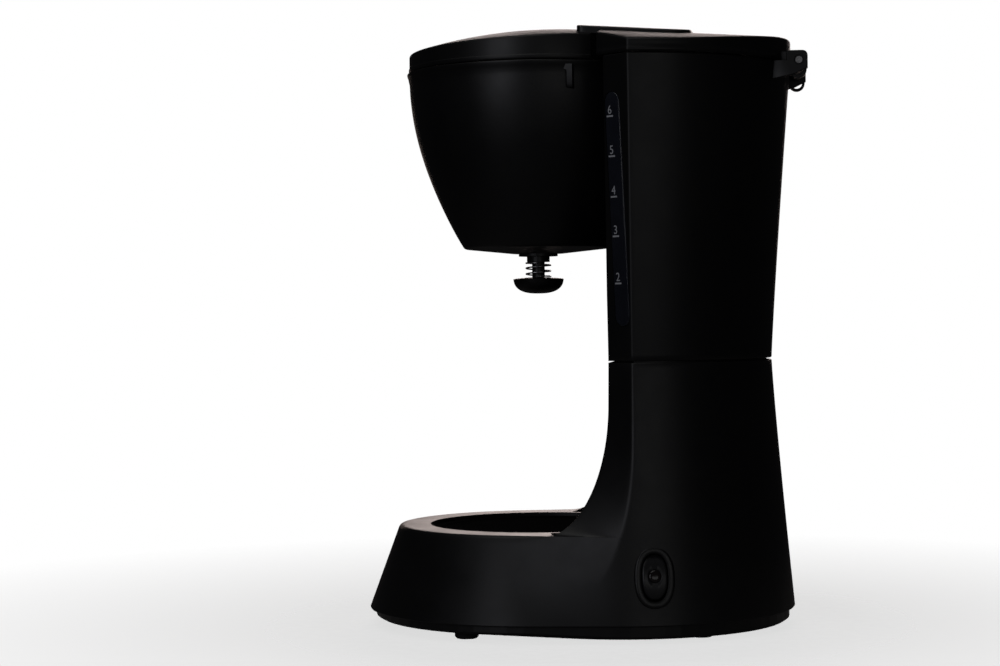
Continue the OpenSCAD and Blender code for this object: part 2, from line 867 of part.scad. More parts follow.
stem_r = 2.9;
module filter_basket() color(satin) seat() {
    difference() {
        union() {
            basket_shape(basket_z, basket_top, 0);
            translate([0, 0, hub_z + 2]) cylinder(h = 6, r = hub_r - 0.4);
            translate([0, 0, hub_z]) cylinder(h = 1.4, r = hub_r);
            translate([0, 0, hub_z + 1]) cylinder(h = 2, r = 6.6);
            translate([0, 0, tier_z]) cylinder(h = 3, r = 5.2);
        }
        basket_shape(basket_z + basket_wall, basket_top + 1, basket_wall);
        translate([0, 0, tier_z - 1]) cylinder(h = 20, r = stem_r + 0.06);
        translate([0, 0, tier_z + 2]) for (i = [0:3])
            rotate([0, 0, 90 * i + 45]) translate([stem_r + 0.5, 0, 0]) cylinder(h = 20, r = 1.1);
    }
}

filter_top = basket_top - 3;
filter_z = basket_z + 18;
function filter_at(z) = basket_at(z) - basket_wall - 2.2;
filter_bar = 3;
module filter_frame() color(satin) seat() {
    difference() {
        filter_band(filter_z, filter_top, 1.6);
        for (i = [0:5])
            rotate([0, 0, 60 * i + 30])
            translate([0, 0, filter_z + 3])
            linear_extrude(height = filter_top - 7 - filter_z)
            polygon([[10, 4], [80, filter_bar / 2], [80 * cos(60), 80 * sin(60) - filter_bar], [12, 16]]);
    }
    for (i = [0:2])
        translate([0, 0, filter_z + 0.4])
        rotate([0, 0, 60 * i + 30])
        translate([-filter_at(filter_z) + 0.8, -1.2, 0])
        cube([2 * filter_at(filter_z) - 1.6, 2.4, 1.4]);
}

// A band of the filter's curved wall.
module filter_band(z0, z1, t, n = 5) {
    rotate_extrude()
        polygon(concat(
            [for (i = [0:n]) let (z = level(z0, z1, i, n)) [filter_at(z), z]],
            [for (i = [n:-1:0]) let (z = level(z0, z1, i, n)) [filter_at(z) - t, z]]
        ));
}

module filter_mesh() color([0.75, 0.7, 0.6]) seat() {
    difference() {
        filter_band(filter_z + 3, filter_top - 4, 0.5);
        for (i = [0:5]) rotate([0, 0, 60 * i + 30]) translate([0, -1.5, 0]) cube([80, 3, 400]);
    }
    translate([0, 0, filter_z + 1.4]) cylinder(h = 0.5, r = filter_at(filter_z) - 1.6);
}

cap_top_z = tier_z - drip_travel - 2.8;
seat_z = basket_z + basket_wall;
module valve_stem() color(satin) seat() {
    translate([0, 0, cap_top_z - 1]) cylinder(h = seat_z + 3.4 - cap_top_z + 1, r = stem_r);
    translate([0, 0, seat_z + 2.4]) cylinder(h = 1.2, r = 4.6);
}

module valve_seal() color([0.55, 0.18, 0.12]) seat() {
    translate([0, 0, seat_z + 0.1])
        difference() {
            cylinder(h = 2.2, r = 6.4);
            translate([0, 0, -1]) cylinder(h = 5, r = stem_r);
        }
}

module valve_cap() color(black) seat() {
    difference() {
        rotate_extrude()
            polygon(concat(
                [[0, cap_top_z + 0.6], [5, cap_top_z + 0.5], [cap_r, cap_top_z]],
                [for (i = [1:8]) let (a = 90 * i / 8)
                    [cap_r * pow(cos(a), 0.75), cap_top_z - 6.6 * pow(sin(a), 0.9)]]
            ));
        translate([0, 0, cap_top_z - 1]) cylinder(h = 4, r = stem_r);
    }
}

// The spring: a round wire wound around the stem, as one swept solid.
spring_r = 5.6;
spring_wire = 0.35;
spring_turns = 3;
spring_sides = 6;
spring_z0 = cap_top_z + 0.7 + spring_wire;
spring_z1 = tier_z - 0.1 - spring_wire;
spring_n = spring_turns * 16;
spring_points = [for (i = [0:spring_n], j = [0:spring_sides - 1])
    let (a = 360 * spring_turns * i / spring_n, b = 360 * j / spring_sides,
        r = spring_r + spring_wire * cos(b), z = level(spring_z0, spring_z1, i, spring_n) + spring_wire * sin(b))
    [r * cos(a), r * sin(a), z]];
spring_faces = concat(
    [[for (j = [0:spring_sides - 1]) j]],
    [for (i = [0:spring_n - 1], j = [0:spring_sides - 1])
        let (k = (j + 1) % spring_sides, p = i * spring_sides, q = p + spring_sides)
        [p + j, q + j, q + k, p + k]],
    [[for (j = [spring_sides - 1:-1:0]) spring_n * spring_sides + j]]
);
module valve_spring() color(steel) seat() {
    polyhedron(points = spring_points, faces = spring_faces);
}

// ---- Lid ----

rim_top = lid_z + 8.8;
lid_r = top_r + 0.3;
front_lid_r = 57.8;
lid_wall = 2.2;
lid_front_y = 32.5;
neck_y = 29;
neck_r = 54.5;
panel_y = 22.5;
front_dome_r = 217;
front_dome_y = 8;
front_dome_z = total_h - 1;
rear_arch_r = 290;
rear_slope = 4;
panel_t = 1.4;
panel_x = 46;
panel_back = 72;
panel_corner = 12;

// The rear part of the lid in plan, with the same slanted corners as the column.
module rear_plan(inset) {
    e = lid_r - 0.4 - (46 - lid_front_y) - inset * 0.41;
    intersection() {
        translate([0, column_y]) circle(r = lid_r - inset);
        polygon([
            [-e, lid_front_y + inset], [e, lid_front_y + inset], [e + 110, lid_front_y + 110 + inset],
            [-e - 110, lid_front_y + 110 + inset]
        ]);
    }
}

// The front part of the lid in plan: a round with a narrower neck behind it.
module front_plan(inset) {
    intersection() {
        circle(r = front_lid_r - inset);
        translate([-100, -100]) square([200, 100 + neck_y]);
    }
    intersection() {
        circle(r = neck_r - inset);
        translate([-100, 0]) square([200, lid_front_y + 6]);
    }
}

module front_dome(drop) {
    translate([0, front_dome_y, front_dome_z - front_dome_r]) sphere(r = front_dome_r - drop, $fn = 96);
}

// The rear part's top: an arch across the lid that falls gently towards the hinge.
module rear_arch(drop) {
    translate([0, panel_y, total_h - panel_t - rear_arch_r / cos(rear_slope)])
        rotate([-90 - rear_slope, 0, 0])
        translate([0, 0, -40])
        cylinder(h = 160, r = rear_arch_r - drop, $fn = 360);
}

module lid_body(inset, z0) {
    intersection() {
        translate([0, 0, z0]) linear_extrude(height = 40) front_plan(inset);
        front_dome(inset);
    }
    intersection() {
        translate([0, 0, z0]) linear_extrude(height = 40) rear_plan(inset);
        rear_arch(inset);
    }
}

module lid_shell() color(black) seat() {
    difference() {
        union() {
            difference() {
                lid_body(0, lid_z);
                lid_body(lid_wall, lid_z - 1);
            }
            difference() {
                translate([0, 0, lid_z]) cylinder(h = 1.8, r = lip_r);
                translate([0, 0, lid_z - 1]) cylinder(h = 4, r = front_lid_r - lid_wall);
                translate([-100, neck_y, 0]) cube([200, 100, 400]);
            }
            both_sides() lid_knuckle();
        }
        translate([-50, pin_y, pin_z]) rotate([0, 90, 0]) cylinder(h = 100, r = pin_r + 0.06);
        both_sides() translate([lug_x0 - 0.6, 107.2, lid_z - 5]) cube([lug_x1 - lug_x0 + 1.2, 30, 40]);
    }
}

knuckle_x0 = 18;
module lid_knuckle() {
    translate([knuckle_x0, 0, 0])
        rotate([90, 0, 90])
        linear_extrude(height = lug_x0 - 0.6 - knuckle_x0)
        union() {
            translate([pin_y, pin_z]) circle(r = 3.4);
            polygon([[109, lid_z + 0.4], [pin_y - 3.2, lid_z + 0.4], [pin_y, pin_z + 3.4], [109, lid_z + 4.5]]);
        }
}

// The cover in plan: a rectangle whose rear corners are rounded.
module panel_plan() {
    difference() {
        translate([-panel_x, panel_y]) square([2 * panel_x, panel_back - panel_y]);
        for (s = [-1, 1]) translate([s * panel_x, panel_back])
            difference() {
                square(2 * panel_corner, center = true);
                translate([-s * panel_corner, -panel_corner]) circle(r = panel_corner);
            }
    }
}

// The raised cover on the rear of the lid, which ends in a step over the front.
module lid_panel() color(satin) seat() {
    intersection() {
        translate([0, 0, rim_top - 2]) linear_extrude(height = 30) panel_plan();
        difference() {
            rear_arch(-panel_t);
            intersection() {
                rear_arch(-0.05);
                translate([-far, lid_front_y - 0.05, 0]) cube([2 * far, far, 2 * far]);
            }
            front_dome(-0.05);
        }
    }
}

// The covered channel under the lid that leads the water from the riser to the spray disc.
channel_turn = atan(hose_x / hose_y);
channel_l = sqrt(hose_x * hose_x + hose_y * hose_y);
channel_z = lid_z + 2.2;
module lid_channel() color(satin) seat() {
    difference() {
        union() {
            rotate([0, 0, channel_turn]) translate([-7, 0, channel_z]) cube([14, channel_l, 6.4]);
            translate([0, 0, channel_z]) cylinder(h = 6.4, r = 20);
            translate([-hose_x, hose_y, channel_z]) cylinder(h = 6.4, r = 9);
            both_sides() translate([16, -8, channel_z + 5]) cube([10, 5, 5.9]);
        }
        rotate([0, 0, channel_turn]) translate([-5.4, 0, channel_z + 1.4]) cube([10.8, channel_l, 3.6]);
        translate([0, 0, channel_z - 1]) cylinder(h = 6, r = 18);
        translate([-hose_x, hose_y, channel_z - 1]) cylinder(h = 6, r = 7.4);
    }
}

module spray_disc() color(grey) seat() {
    translate([0, 0, channel_z])
        difference() {
            cylinder(h = 1.4, r = 17.9);
            for (i = [0:7]) rotate([0, 0, 45 * i]) translate([12, 0, -1]) cylinder(h = 4, r = 1.3);
            for (i = [0:3]) rotate([0, 0, 90 * i]) translate([5.5, 0, -1]) cylinder(h = 4, r = 1.3);
        }
}

lower_housing();
bottom_cover();
rubber_feet();
bottom_cover_screws();
hotplate();
hotplate_gasket();
heater_casting();
heater_water_tube();
heating_rod();
heater_bracket();
heater_screws();
thermostat();
thermal_fuses();
inlet_hose();
outlet_hose();
hose_clips();
check_valve_body();
check_ball();
upper_housing();
housing_screws();
water_window();
window_seal();
level_marks();
tank_strainer();
outlet_seal();
riser_seal();
riser_tube();
riser_nozzle();
switch_bezel();
rocker_button();
button_lens();
switch_body();
switch_terminals();
indicator_lamp();
terminal_block();
inner_wires();
cord_gland();
filter_basket();
filter_frame();
filter_mesh();
valve_stem();
valve_seal();
valve_spring();
valve_cap();
lid_shell();
lid_panel();
lid_channel();
spray_disc();
hinge_pin();
hinge_hook();
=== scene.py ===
"""The drip coffee maker's looks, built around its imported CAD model.

Lengths in this script are millimetres measured from the upright axis of the hotplate and bucket, with +X to the
switch side, +Y to the rear and +Z up. at() turns them into the frame's metres.
"""

import json
import math

import bmesh
import bpy
from mathutils import Matrix, Vector


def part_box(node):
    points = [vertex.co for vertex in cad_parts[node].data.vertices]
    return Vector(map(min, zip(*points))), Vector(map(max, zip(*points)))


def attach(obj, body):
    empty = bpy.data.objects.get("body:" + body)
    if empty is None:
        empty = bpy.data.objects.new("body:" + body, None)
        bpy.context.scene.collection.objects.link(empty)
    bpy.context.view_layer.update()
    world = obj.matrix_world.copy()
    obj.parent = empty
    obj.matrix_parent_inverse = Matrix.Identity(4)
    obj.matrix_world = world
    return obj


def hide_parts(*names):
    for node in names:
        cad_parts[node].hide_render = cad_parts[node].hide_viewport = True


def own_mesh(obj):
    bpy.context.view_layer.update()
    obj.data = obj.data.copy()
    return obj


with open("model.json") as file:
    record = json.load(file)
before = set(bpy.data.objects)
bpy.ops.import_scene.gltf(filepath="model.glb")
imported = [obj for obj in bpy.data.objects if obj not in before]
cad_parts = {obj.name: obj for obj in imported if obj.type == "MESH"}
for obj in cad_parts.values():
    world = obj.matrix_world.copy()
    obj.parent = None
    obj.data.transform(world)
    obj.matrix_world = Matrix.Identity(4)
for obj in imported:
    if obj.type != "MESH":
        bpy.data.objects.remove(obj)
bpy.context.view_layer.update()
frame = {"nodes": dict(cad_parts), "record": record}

MM = 0.001
plate_low, plate_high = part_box("hotplate")
AXIS = Vector(((plate_low.x + plate_high.x) / 2, (plate_low.y + plate_high.y) / 2, 0.0))

# ---- The machine's main sizes, as in the CAD ----
SEAM_Z = 119.0
LID_Z = 250.0
BASE_Z = 7.5
RING_Z = 45.0
BASE_R = 78.5
RING_R = 64.5
RING_IN_R = 50.5
LEDGE_Z = RING_Z - 4.0
COLUMN_Y = 38.0
WAIST_R = 67.3
FOOT_R = 76.7
TOP_R = 76.8
FRONT_Y = 35.5
CHAMFER = 10.5
NICHE_R = 68.0
COVE_Z = 99.0
BUCKET_R = 57.8
LIP_R = 58.9
BUCKET_BOTTOM_R = 33.4
BUCKET_Z = 169.8
HUB_R = 8.9
CAP_R = 11.6
WALL = 2.5
HOUSING_TOP = LID_Z - 0.5


def at(x, y, z):
    """A point given in millimetres from the hotplate's axis, in the frame's metres."""
    return Vector((AXIS.x + x * MM, AXIS.y + y * MM, z * MM))


# ---- Camera ----
CAMERA_TURN = math.radians(96.0)
CAMERA_DISTANCE = 1010.0
CAMERA_HEIGHT = 138.0
CAMERA_YAW = math.radians(1.015)
CAMERA_TILT = math.radians(-0.365)
CAMERA_ROLL = math.radians(0.65)
LENS = 79.56


def add_camera():
    """The photograph's viewpoint: the switch side, a little from the rear, level with the middle of the machine."""
    to_axis = Vector((-math.sin(CAMERA_TURN), math.cos(CAMERA_TURN), 0.0))
    side = Vector((math.cos(CAMERA_TURN), math.sin(CAMERA_TURN), 0.0))
    up = Vector((0.0, 0.0, 1.0))
    level = to_axis * math.cos(CAMERA_YAW) - side * math.sin(CAMERA_YAW)
    right = side * math.cos(CAMERA_YAW) + to_axis * math.sin(CAMERA_YAW)
    forward = level * math.cos(CAMERA_TILT) + up * math.sin(CAMERA_TILT)
    top = up * math.cos(CAMERA_TILT) - level * math.sin(CAMERA_TILT)
    rolled_right = right * math.cos(CAMERA_ROLL) - top * math.sin(CAMERA_ROLL)
    rolled_top = right * math.sin(CAMERA_ROLL) + top * math.cos(CAMERA_ROLL)
    data = bpy.data.cameras.new("camera")
    data.lens = LENS
    data.sensor_width = 36.0
    data.clip_start = 0.05
    data.clip_end = 20.0
    camera = bpy.data.objects.new("camera", data)
    bpy.context.scene.collection.objects.link(camera)
    matrix = Matrix((rolled_right, rolled_top, -forward)).transposed().to_4x4()
    place = -to_axis * CAMERA_DISTANCE
    matrix.translation = at(place.x, place.y, CAMERA_HEIGHT)
    camera.matrix_world = matrix
    bpy.context.scene.camera = camera


# ---- Materials ----
class Nodes:
    """A short way to build a material's node tree."""

    def __init__(self, name):
        self.material = bpy.data.materials.new(name)
        self.material.use_nodes = True
        self.tree = self.material.node_tree
        self.shader = self.tree.nodes["Principled BSDF"]
        coordinates = self.tree.nodes.new("ShaderNodeTexCoord")
        self.object_space = coordinates.outputs["Object"]

    def add(self, kind, **values):
        node = self.tree.nodes.new(kind)
        for key, value in values.items():
            if hasattr(node, key) and key not in node.inputs:
                setattr(node, key, value)
            else:
                node.inputs[key].default_value = value
        return node

    def link(self, source, target):
        self.tree.links.new(source, target)

    def noise(self, scale, detail=2.0, roughness=0.5, stretch=None):
        node = self.add("ShaderNodeTexNoise", Scale=scale, Detail=detail, Roughness=roughness)
        source = self.object_space
        if stretch:
            mapping = self.add("ShaderNodeMapping")
            mapping.inputs["Scale"].default_value = stretch
            self.link(source, mapping.inputs["Vector"])
            source = mapping.outputs["Vector"]
        self.link(source, node.inputs["Vector"])
        return node.outputs["Fac"]

    def spread(self, source, low, high, near=0.3, far=0.7):
        """Maps a noise of near to far onto low to high."""
        node = self.add("ShaderNodeMapRange")
        node.inputs["From Min"].default_value = near
        node.inputs["From Max"].default_value = far
        node.inputs["To Min"].default_value = low
        node.inputs["To Max"].default_value = high
        self.link(source, node.inputs["Value"])
        return node.outputs["Result"]

    def two_colours(self, source, first, second, near=0.35, far=0.65):
        ramp = self.add("ShaderNodeValToRGB")
        ramp.color_ramp.elements[0].position = near
        ramp.color_ramp.elements[0].color = (*first, 1.0)
        ramp.color_ramp.elements[1].position = far
        ramp.color_ramp.elements[1].color = (*second, 1.0)
        self.link(source, ramp.inputs["Fac"])
        return ramp.outputs["Color"]

    def bump(self, source, strength, distance, below=None):
        node = self.add("ShaderNodeBump", Strength=strength, Distance=distance)
        self.link(source, node.inputs["Height"])
        if below:
            self.link(below, node.inputs["Normal"])
        return node.outputs["Normal"]

    def set(self, socket, value):
        if hasattr(value, "is_output"):
            self.link(value, self.shader.inputs[socket])
        else:
            self.shader.inputs[socket].default_value = value


def lighter(colour, factor):
    return tuple(min(1.0, c * factor) for c in colour)


def plastic(name, colour, rough, grain=0.00004, grain_scale=2600.0, spread=0.05, specular=0.5):
    """Moulded plastic: a fine spark-eroded grain, faint flow clouding and slightly uneven gloss."""
    m = Nodes(name)
    clouds = m.noise(28.0, 4.0, 0.55)
    m.set("Base Color", m.two_colours(clouds, colour, lighter(colour, 1.35)))
    handled = m.noise(60.0, 6.0, 0.6)
    m.set("Roughness", m.spread(handled, rough - spread, rough + spread))
    fine = m.noise(grain_scale, 2.0, 0.6)
    m.set("Normal", m.bump(fine, 0.5, grain))
    m.set("Specular IOR Level", specular)
    return m.material


def rubber(name, colour, rough=0.75):
    """Moulded rubber: matt, with a soft mottle and dust in its pores."""
    m = Nodes(name)
    dust = m.noise(420.0, 6.0, 0.65)
    m.set("Base Color", m.two_colours(dust, colour, lighter(colour, 1.9), 0.45, 0.8))
    m.set("Roughness", m.spread(dust, rough - 0.08, rough + 0.1))
    m.set("Normal", m.bump(m.noise(1500.0, 4.0, 0.6), 0.5, 0.00006))
    m.set("Specular IOR Level", 0.3)
    return m.material


def metal(name, colour, rough, stretch=(1.0, 1.0, 30.0), marks=0.00002):
    """Bare metal with drawn or rolled marks along one direction and a little staining."""
    m = Nodes(name)
    lines = m.noise(900.0, 4.0, 0.6, stretch)
    stain = m.noise(45.0, 5.0, 0.6)
    m.set("Base Color", m.two_colours(stain, lighter(colour, 0.8), colour))
    m.set("Metallic", 1.0)
    m.set("Roughness", m.spread(lines, rough - 0.07, rough + 0.1))
    m.set("Normal", m.bump(lines, 0.35, marks))
    return m.material


def cast_metal(name, colour):
    """Cast aluminium: pitted skin, dull, with darker hollows."""
    m = Nodes(name)
    pits = m.noise(700.0, 6.0, 0.7)
    m.set("Base Color", m.two_colours(pits, lighter(colour, 0.55), colour, 0.3, 0.6))
    m.set("Metallic", 0.9)
    m.set("Roughness", m.spread(pits, 0.62, 0.42))
    m.set("Normal", m.bump(pits, 0.6, 0.00012))
    return m.material


def coated_plate(name, colour):
    """Non-stick coating on a pressed plate: fine orange peel, with faint rings worn by the carafe."""
    m = Nodes(name)
    peel = m.noise(1300.0, 3.0, 0.5)
    waves = m.add("ShaderNodeTexWave", wave_type="RINGS", rings_direction="Z", Scale=140.0, Distortion=1.5)
    mapping = m.add("ShaderNodeMapping")
    mapping.inputs["Location"].default_value = (-AXIS.x, -AXIS.y, 0.0)
    m.link(m.object_space, mapping.inputs["Vector"])
    m.link(mapping.outputs["Vector"], waves.inputs["Vector"])
    wear = m.add("ShaderNodeMath", operation="MULTIPLY")
    m.link(waves.outputs["Fac"], wear.inputs[0])
    m.link(m.noise(55.0, 5.0, 0.6), wear.inputs[1])
    m.set("Base Color", m.two_colours(wear.outputs["Value"], colour, lighter(colour, 2.2), 0.2, 0.8))
    m.set("Roughness", m.spread(wear.outputs["Value"], 0.6, 0.75, 0.0, 0.7))
    m.set("Specular IOR Level", 0.0)
    m.set("Normal", m.bump(peel, 0.4, 0.00004))
    return m.material


def clear_plastic(name, tint, rough=0.12):
    """Smoked clear plastic with moulding ripples and a film of scale on its inside."""
    m = Nodes(name)
    scale_film = m.noise(130.0, 5.0, 0.65)
    m.set("Base Color", m.two_colours(scale_film, tint, lighter(tint, 1.3)))
    m.set("Transmission Weight", 0.55)
    m.set("IOR", 1.49)
    m.set("Roughness", m.spread(scale_film, rough, rough + 0.12))
    m.set("Normal", m.bump(m.noise(90.0, 2.0, 0.5), 0.25, 0.0002))
    return m.material


def milky_plastic(name, colour, rough=0.45):
    """Natural polypropylene: waxy and slightly see-through, so it scatters light."""
    m = Nodes(name)
    clouds = m.noise(75.0, 4.0, 0.6)
    m.set("Base Color", m.two_colours(clouds, lighter(colour, 0.86), colour))
    m.set("Subsurface Weight", 0.25)
    m.set("Subsurface Radius", (0.003, 0.0024, 0.002))
    m.set("Roughness", m.spread(clouds, rough - 0.06, rough + 0.08))
    m.set("Normal", m.bump(m.noise(1100.0, 3.0, 0.5), 0.3, 0.00004))
    return m.material


def printed(name, colour):
    """Screen-printed ink with pinholes and a matt, slightly uneven film."""
    m = Nodes(name)
    holes = m.noise(2400.0, 3.0, 0.6)
    m.set("Base Color", m.two_colours(holes, lighter(colour, 0.72), colour, 0.3, 0.5))
    m.set("Roughness", m.spread(holes, 0.6, 0.5))
    m.set("Normal", m.bump(holes, 0.4, 0.00002))
    return m.material


def woven(name, colour, pitch):
    """A fine square mesh or sleeve: two sets of threads, over and under."""
    m = Nodes(name)
    height = None
    for stretch in ((1.0, 1.0, 0.0), (0.0, 0.0, 1.0)):
        mapping = m.add("ShaderNodeMapping")
        mapping.inputs["Scale"].default_value = stretch
        m.link(m.object_space, mapping.inputs["Vector"])
        wave = m.add("ShaderNodeTexWave", wave_type="BANDS", bands_direction="DIAGONAL", Scale=pitch)
        m.link(mapping.outputs["Vector"], wave.inputs["Vector"])
        if height is None:
            height = wave.outputs["Fac"]
        else:
            top = m.add("ShaderNodeMath", operation="MAXIMUM")
            m.link(height, top.inputs[0])
            m.link(wave.outputs["Fac"], top.inputs[1])
            height = top.outputs["Value"]
    m.set("Base Color", m.two_colours(height, lighter(colour, 0.35), colour, 0.35, 0.8))
    m.set("Roughness", 0.7)
    m.set("Sheen Weight", 0.15)
    m.set("Normal", m.bump(height, 0.7, 0.0001))
    return m.material


BLACK = (0.0038, 0.0038, 0.0042)
MATERIALS = {
    "housing_plastic": plastic("housing_plastic", BLACK, 0.42, spread=0.04),
    "satin_plastic": plastic("satin_plastic", (0.0042, 0.0042, 0.0046), 0.36, grain=0.00002),
    "button_plastic": plastic("button_plastic", (0.011, 0.011, 0.012), 0.38, grain=0.00001),
    "basket_plastic": plastic("basket_plastic", (0.014, 0.014, 0.015), 0.4, grain=0.00003),
    "filter_plastic": plastic("filter_plastic", (0.04, 0.04, 0.042), 0.45),
    "cap_rubber": rubber("cap_rubber", (0.004, 0.004, 0.0043), 0.42),
    "seal_rubber": rubber("seal_rubber", (0.035, 0.035, 0.035)),
    "foot_rubber": rubber("foot_rubber", (0.02, 0.02, 0.02)),
    "gasket_silicone": rubber("gasket_silicone", (0.55, 0.55, 0.53), 0.6),
    "hotplate_coating": coated_plate("hotplate_coating", (0.006, 0.006, 0.0063)),
    "heater_aluminium": cast_metal("heater_aluminium", (0.62, 0.63, 0.64)),
    "steel": metal("steel", (0.6, 0.6, 0.61), 0.28),
    "thermostat_plastic": plastic("thermostat_plastic", (0.03, 0.025, 0.022), 0.35),
    "milky_plastic": milky_plastic("milky_plastic", (0.75, 0.74, 0.7)),
    "hose_silicone": milky_plastic("hose_silicone", (0.78, 0.77, 0.74), 0.5),
    "window_clear": clear_plastic("window_clear", (0.032, 0.036, 0.052)),
    "mark_print": printed("mark_print", (0.62, 0.64, 0.68)),
    "lens_red": plastic("lens_red", (0.012, 0.009, 0.009), 0.18, grain=0.000005, spread=0.03),
    "brass_parts": metal("brass_parts", (0.72, 0.55, 0.25), 0.3),
    "wire_sleeve": woven("wire_sleeve", (0.35, 0.12, 0.08), 900.0),
    "filter_screen": woven("filter_screen", (0.62, 0.55, 0.4), 1300.0),
}


def finish_cad_nodes():
    """Gives every carried-over CAD node the detailed material of its slot."""
    for row in frame["record"]["subparts"]:
        node = frame["nodes"][row["node"]]
        node.data.materials.clear()
        node.data.materials.append(MATERIALS[row["material_slot"]])
        node.data.shade_smooth()
        node.data.set_sharp_from_angle(angle=math.radians(28.0))


# ---- Mesh helpers ----
def mesh_object(name, verts, faces, slot, sharp=35.0):
    mesh = bpy.data.meshes.new(name)
    mesh.from_pydata([tuple(at(*v)) for v in verts], [], faces)
    clean(mesh)
    obj = bpy.data.objects.new(name, mesh)
    bpy.context.scene.collection.objects.link(obj)
    mesh.materials.append(MATERIALS[slot])
    smooth(obj, sharp)
    return obj


def clean(mesh, distance=0.000001):
    work = bmesh.new()
    work.from_mesh(mesh)
    bmesh.ops.remove_doubles(work, verts=work.verts, dist=distance)
    bmesh.ops.recalc_face_normals(work, faces=work.faces)
    work.to_mesh(mesh)
    work.free()


def smooth(obj, sharp=35.0):
    obj.data.shade_smooth()
    obj.data.set_sharp_from_angle(angle=math.radians(sharp))


def loft(rings, around=True, along=False, first_cap=False, last_cap=False):
    """Vertices and quads through rings of equal length."""
    count = len(rings[0])
    verts = [p for ring in rings for p in ring]
    faces = []
    steps = len(rings) if along else len(rings) - 1
    for i in range(steps):
        j = (i + 1) % len(rings)
        for k in range(count if around else count - 1):
            n = (k + 1) % count
            faces.append((i * count + k, i * count + n, j * count + n, j * count + k))
    if first_cap:
        faces.append(tuple(range(count)))
    if last_cap:
        faces.append(tuple(range((len(rings) - 1) * count, len(rings) * count)))
    return verts, faces


def joined(parts):
    """Several (vertices, faces) as one."""
    verts, faces = [], []
    for part_verts, part_faces in parts:
        base = len(verts)
        verts += part_verts
        faces += [tuple(i + base for i in face) for face in part_faces]
    return verts, faces


def revolve(profile, sides=160, centre_y=0.0, closed=True):
    """A profile of (radius, height) turned around an upright line."""
    rings = []
    for i in range(sides):
        a = 2 * math.pi * i / sides
        rings.append([(r * math.cos(a), centre_y + r * math.sin(a), z) for r, z in profile])
    return loft(rings, around=closed, along=True)


def apply_modifiers(obj):
    graph = bpy.context.evaluated_depsgraph_get()
    mesh = bpy.data.meshes.new_from_object(obj.evaluated_get(graph), depsgraph=graph)
    obj.modifiers.clear()
    obj.data = mesh
    return obj


def thicken(obj, thickness):
    """Gives an outer skin its wall, inwards."""
    solid = obj.modifiers.new("wall", "SOLIDIFY")
    solid.thickness = thickness * MM
    solid.offset = -1.0
    solid.use_even_offset = False
    return apply_modifiers(obj)


def cut(obj, tools, operation="DIFFERENCE", sharp=35.0):
    for tool in tools:
        boolean = obj.modifiers.new("cut", "BOOLEAN")
        boolean.operation = operation
        boolean.solver = "EXACT"
        boolean.object = tool
    apply_modifiers(obj)
    for tool in tools:
        bpy.data.objects.remove(tool)
    clean(obj.data, 0.000002)
    smooth(obj, sharp)
    return obj


def join_into(obj, others):
    """Adds the others' meshes to obj, which is then one piece of several closed shells."""
    work = bmesh.new()
    for source in [obj] + others:
        work.from_mesh(source.data)
    work.to_mesh(obj.data)
    work.free()
    for other in others:
        bpy.data.objects.remove(other)
    return obj


def solid(name, rings, slot, sharp=35.0):
    """A closed body through rings of points."""
    verts, faces = loft(rings, first_cap=True, last_cap=True)
    return mesh_object(name, verts, faces, slot, sharp)


def rounded_corner(before, corner, after, tangent, steps=5):
    """A corner eased over a length on each side."""
    def towards(p, q, d):
        length = math.hypot(q[0] - p[0], q[1] - p[1]) or 1.0
        return (p[0] + (q[0] - p[0]) * d / length, p[1] + (q[1] - p[1]) * d / length)

    a = towards(corner, before, tangent)
    b = towards(corner, after, tangent)
    points = []
    for i in range(steps):
        t = i / (steps - 1)
        points.append(tuple(
            (1 - t) ** 2 * a[n] + 2 * t * (1 - t) * corner[n] + t ** 2 * b[n] for n in (0, 1)
        ))
    return points


def piece(obj, body, slot, *nodes):
    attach(obj, body)
    if nodes:
        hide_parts(*nodes)
    return obj


# ---- The column's outline ----
def column_r(z):
    if z < SEAM_Z:
        return WAIST_R + (FOOT_R - WAIST_R) * ((SEAM_Z - z) / (SEAM_Z - BASE_Z)) ** 1.15
    return WAIST_R + (TOP_R - WAIST_R) * ((z - SEAM_Z) / (LID_Z - SEAM_Z)) ** 1.12


def swept(z, low, high, power=2.0):
    """Falls from high at the cove's top to low at the ring, as a quarter of an ellipse."""
    if z >= COVE_Z:
        return high
    t = (COVE_Z - max(z, RING_Z)) / (COVE_Z - RING_Z)
    return high - (high - low) * (1 - (1 - t ** power) ** (1 / power))


CREASE_TOP = 84.0
CREASE_LOW = BASE_Z - 0.5
ARM_FOOT_Y = 9.0


def crease_y(z):
    """Y of the edge between the column's side and its slanted front, which sweeps forward over the base."""
    straight = 46.4
    if z >= CREASE_TOP:
        return straight
    t = min(1.0, (CREASE_TOP - z) / (CREASE_TOP - CREASE_LOW))
    return straight * (1 - t ** 2.2) ** (1 / 2.2)


def base_r(z):
    return BASE_R - (BASE_R - RING_R) * (z - BASE_Z) / (RING_Z - BASE_Z)


BACK_STEPS = 48
FLANK_STEPS = 8
FRONT_STEPS = 12
NICHE_STEPS = 26
SOFT_STEPS = 5
FRONT_COUNT = SOFT_STEPS + FRONT_STEPS - 1 + NICHE_STEPS + 1


def between(p, q, t):
    return (p[0] + (q[0] - p[0]) * t, p[1] + (q[1] - p[1]) * t)


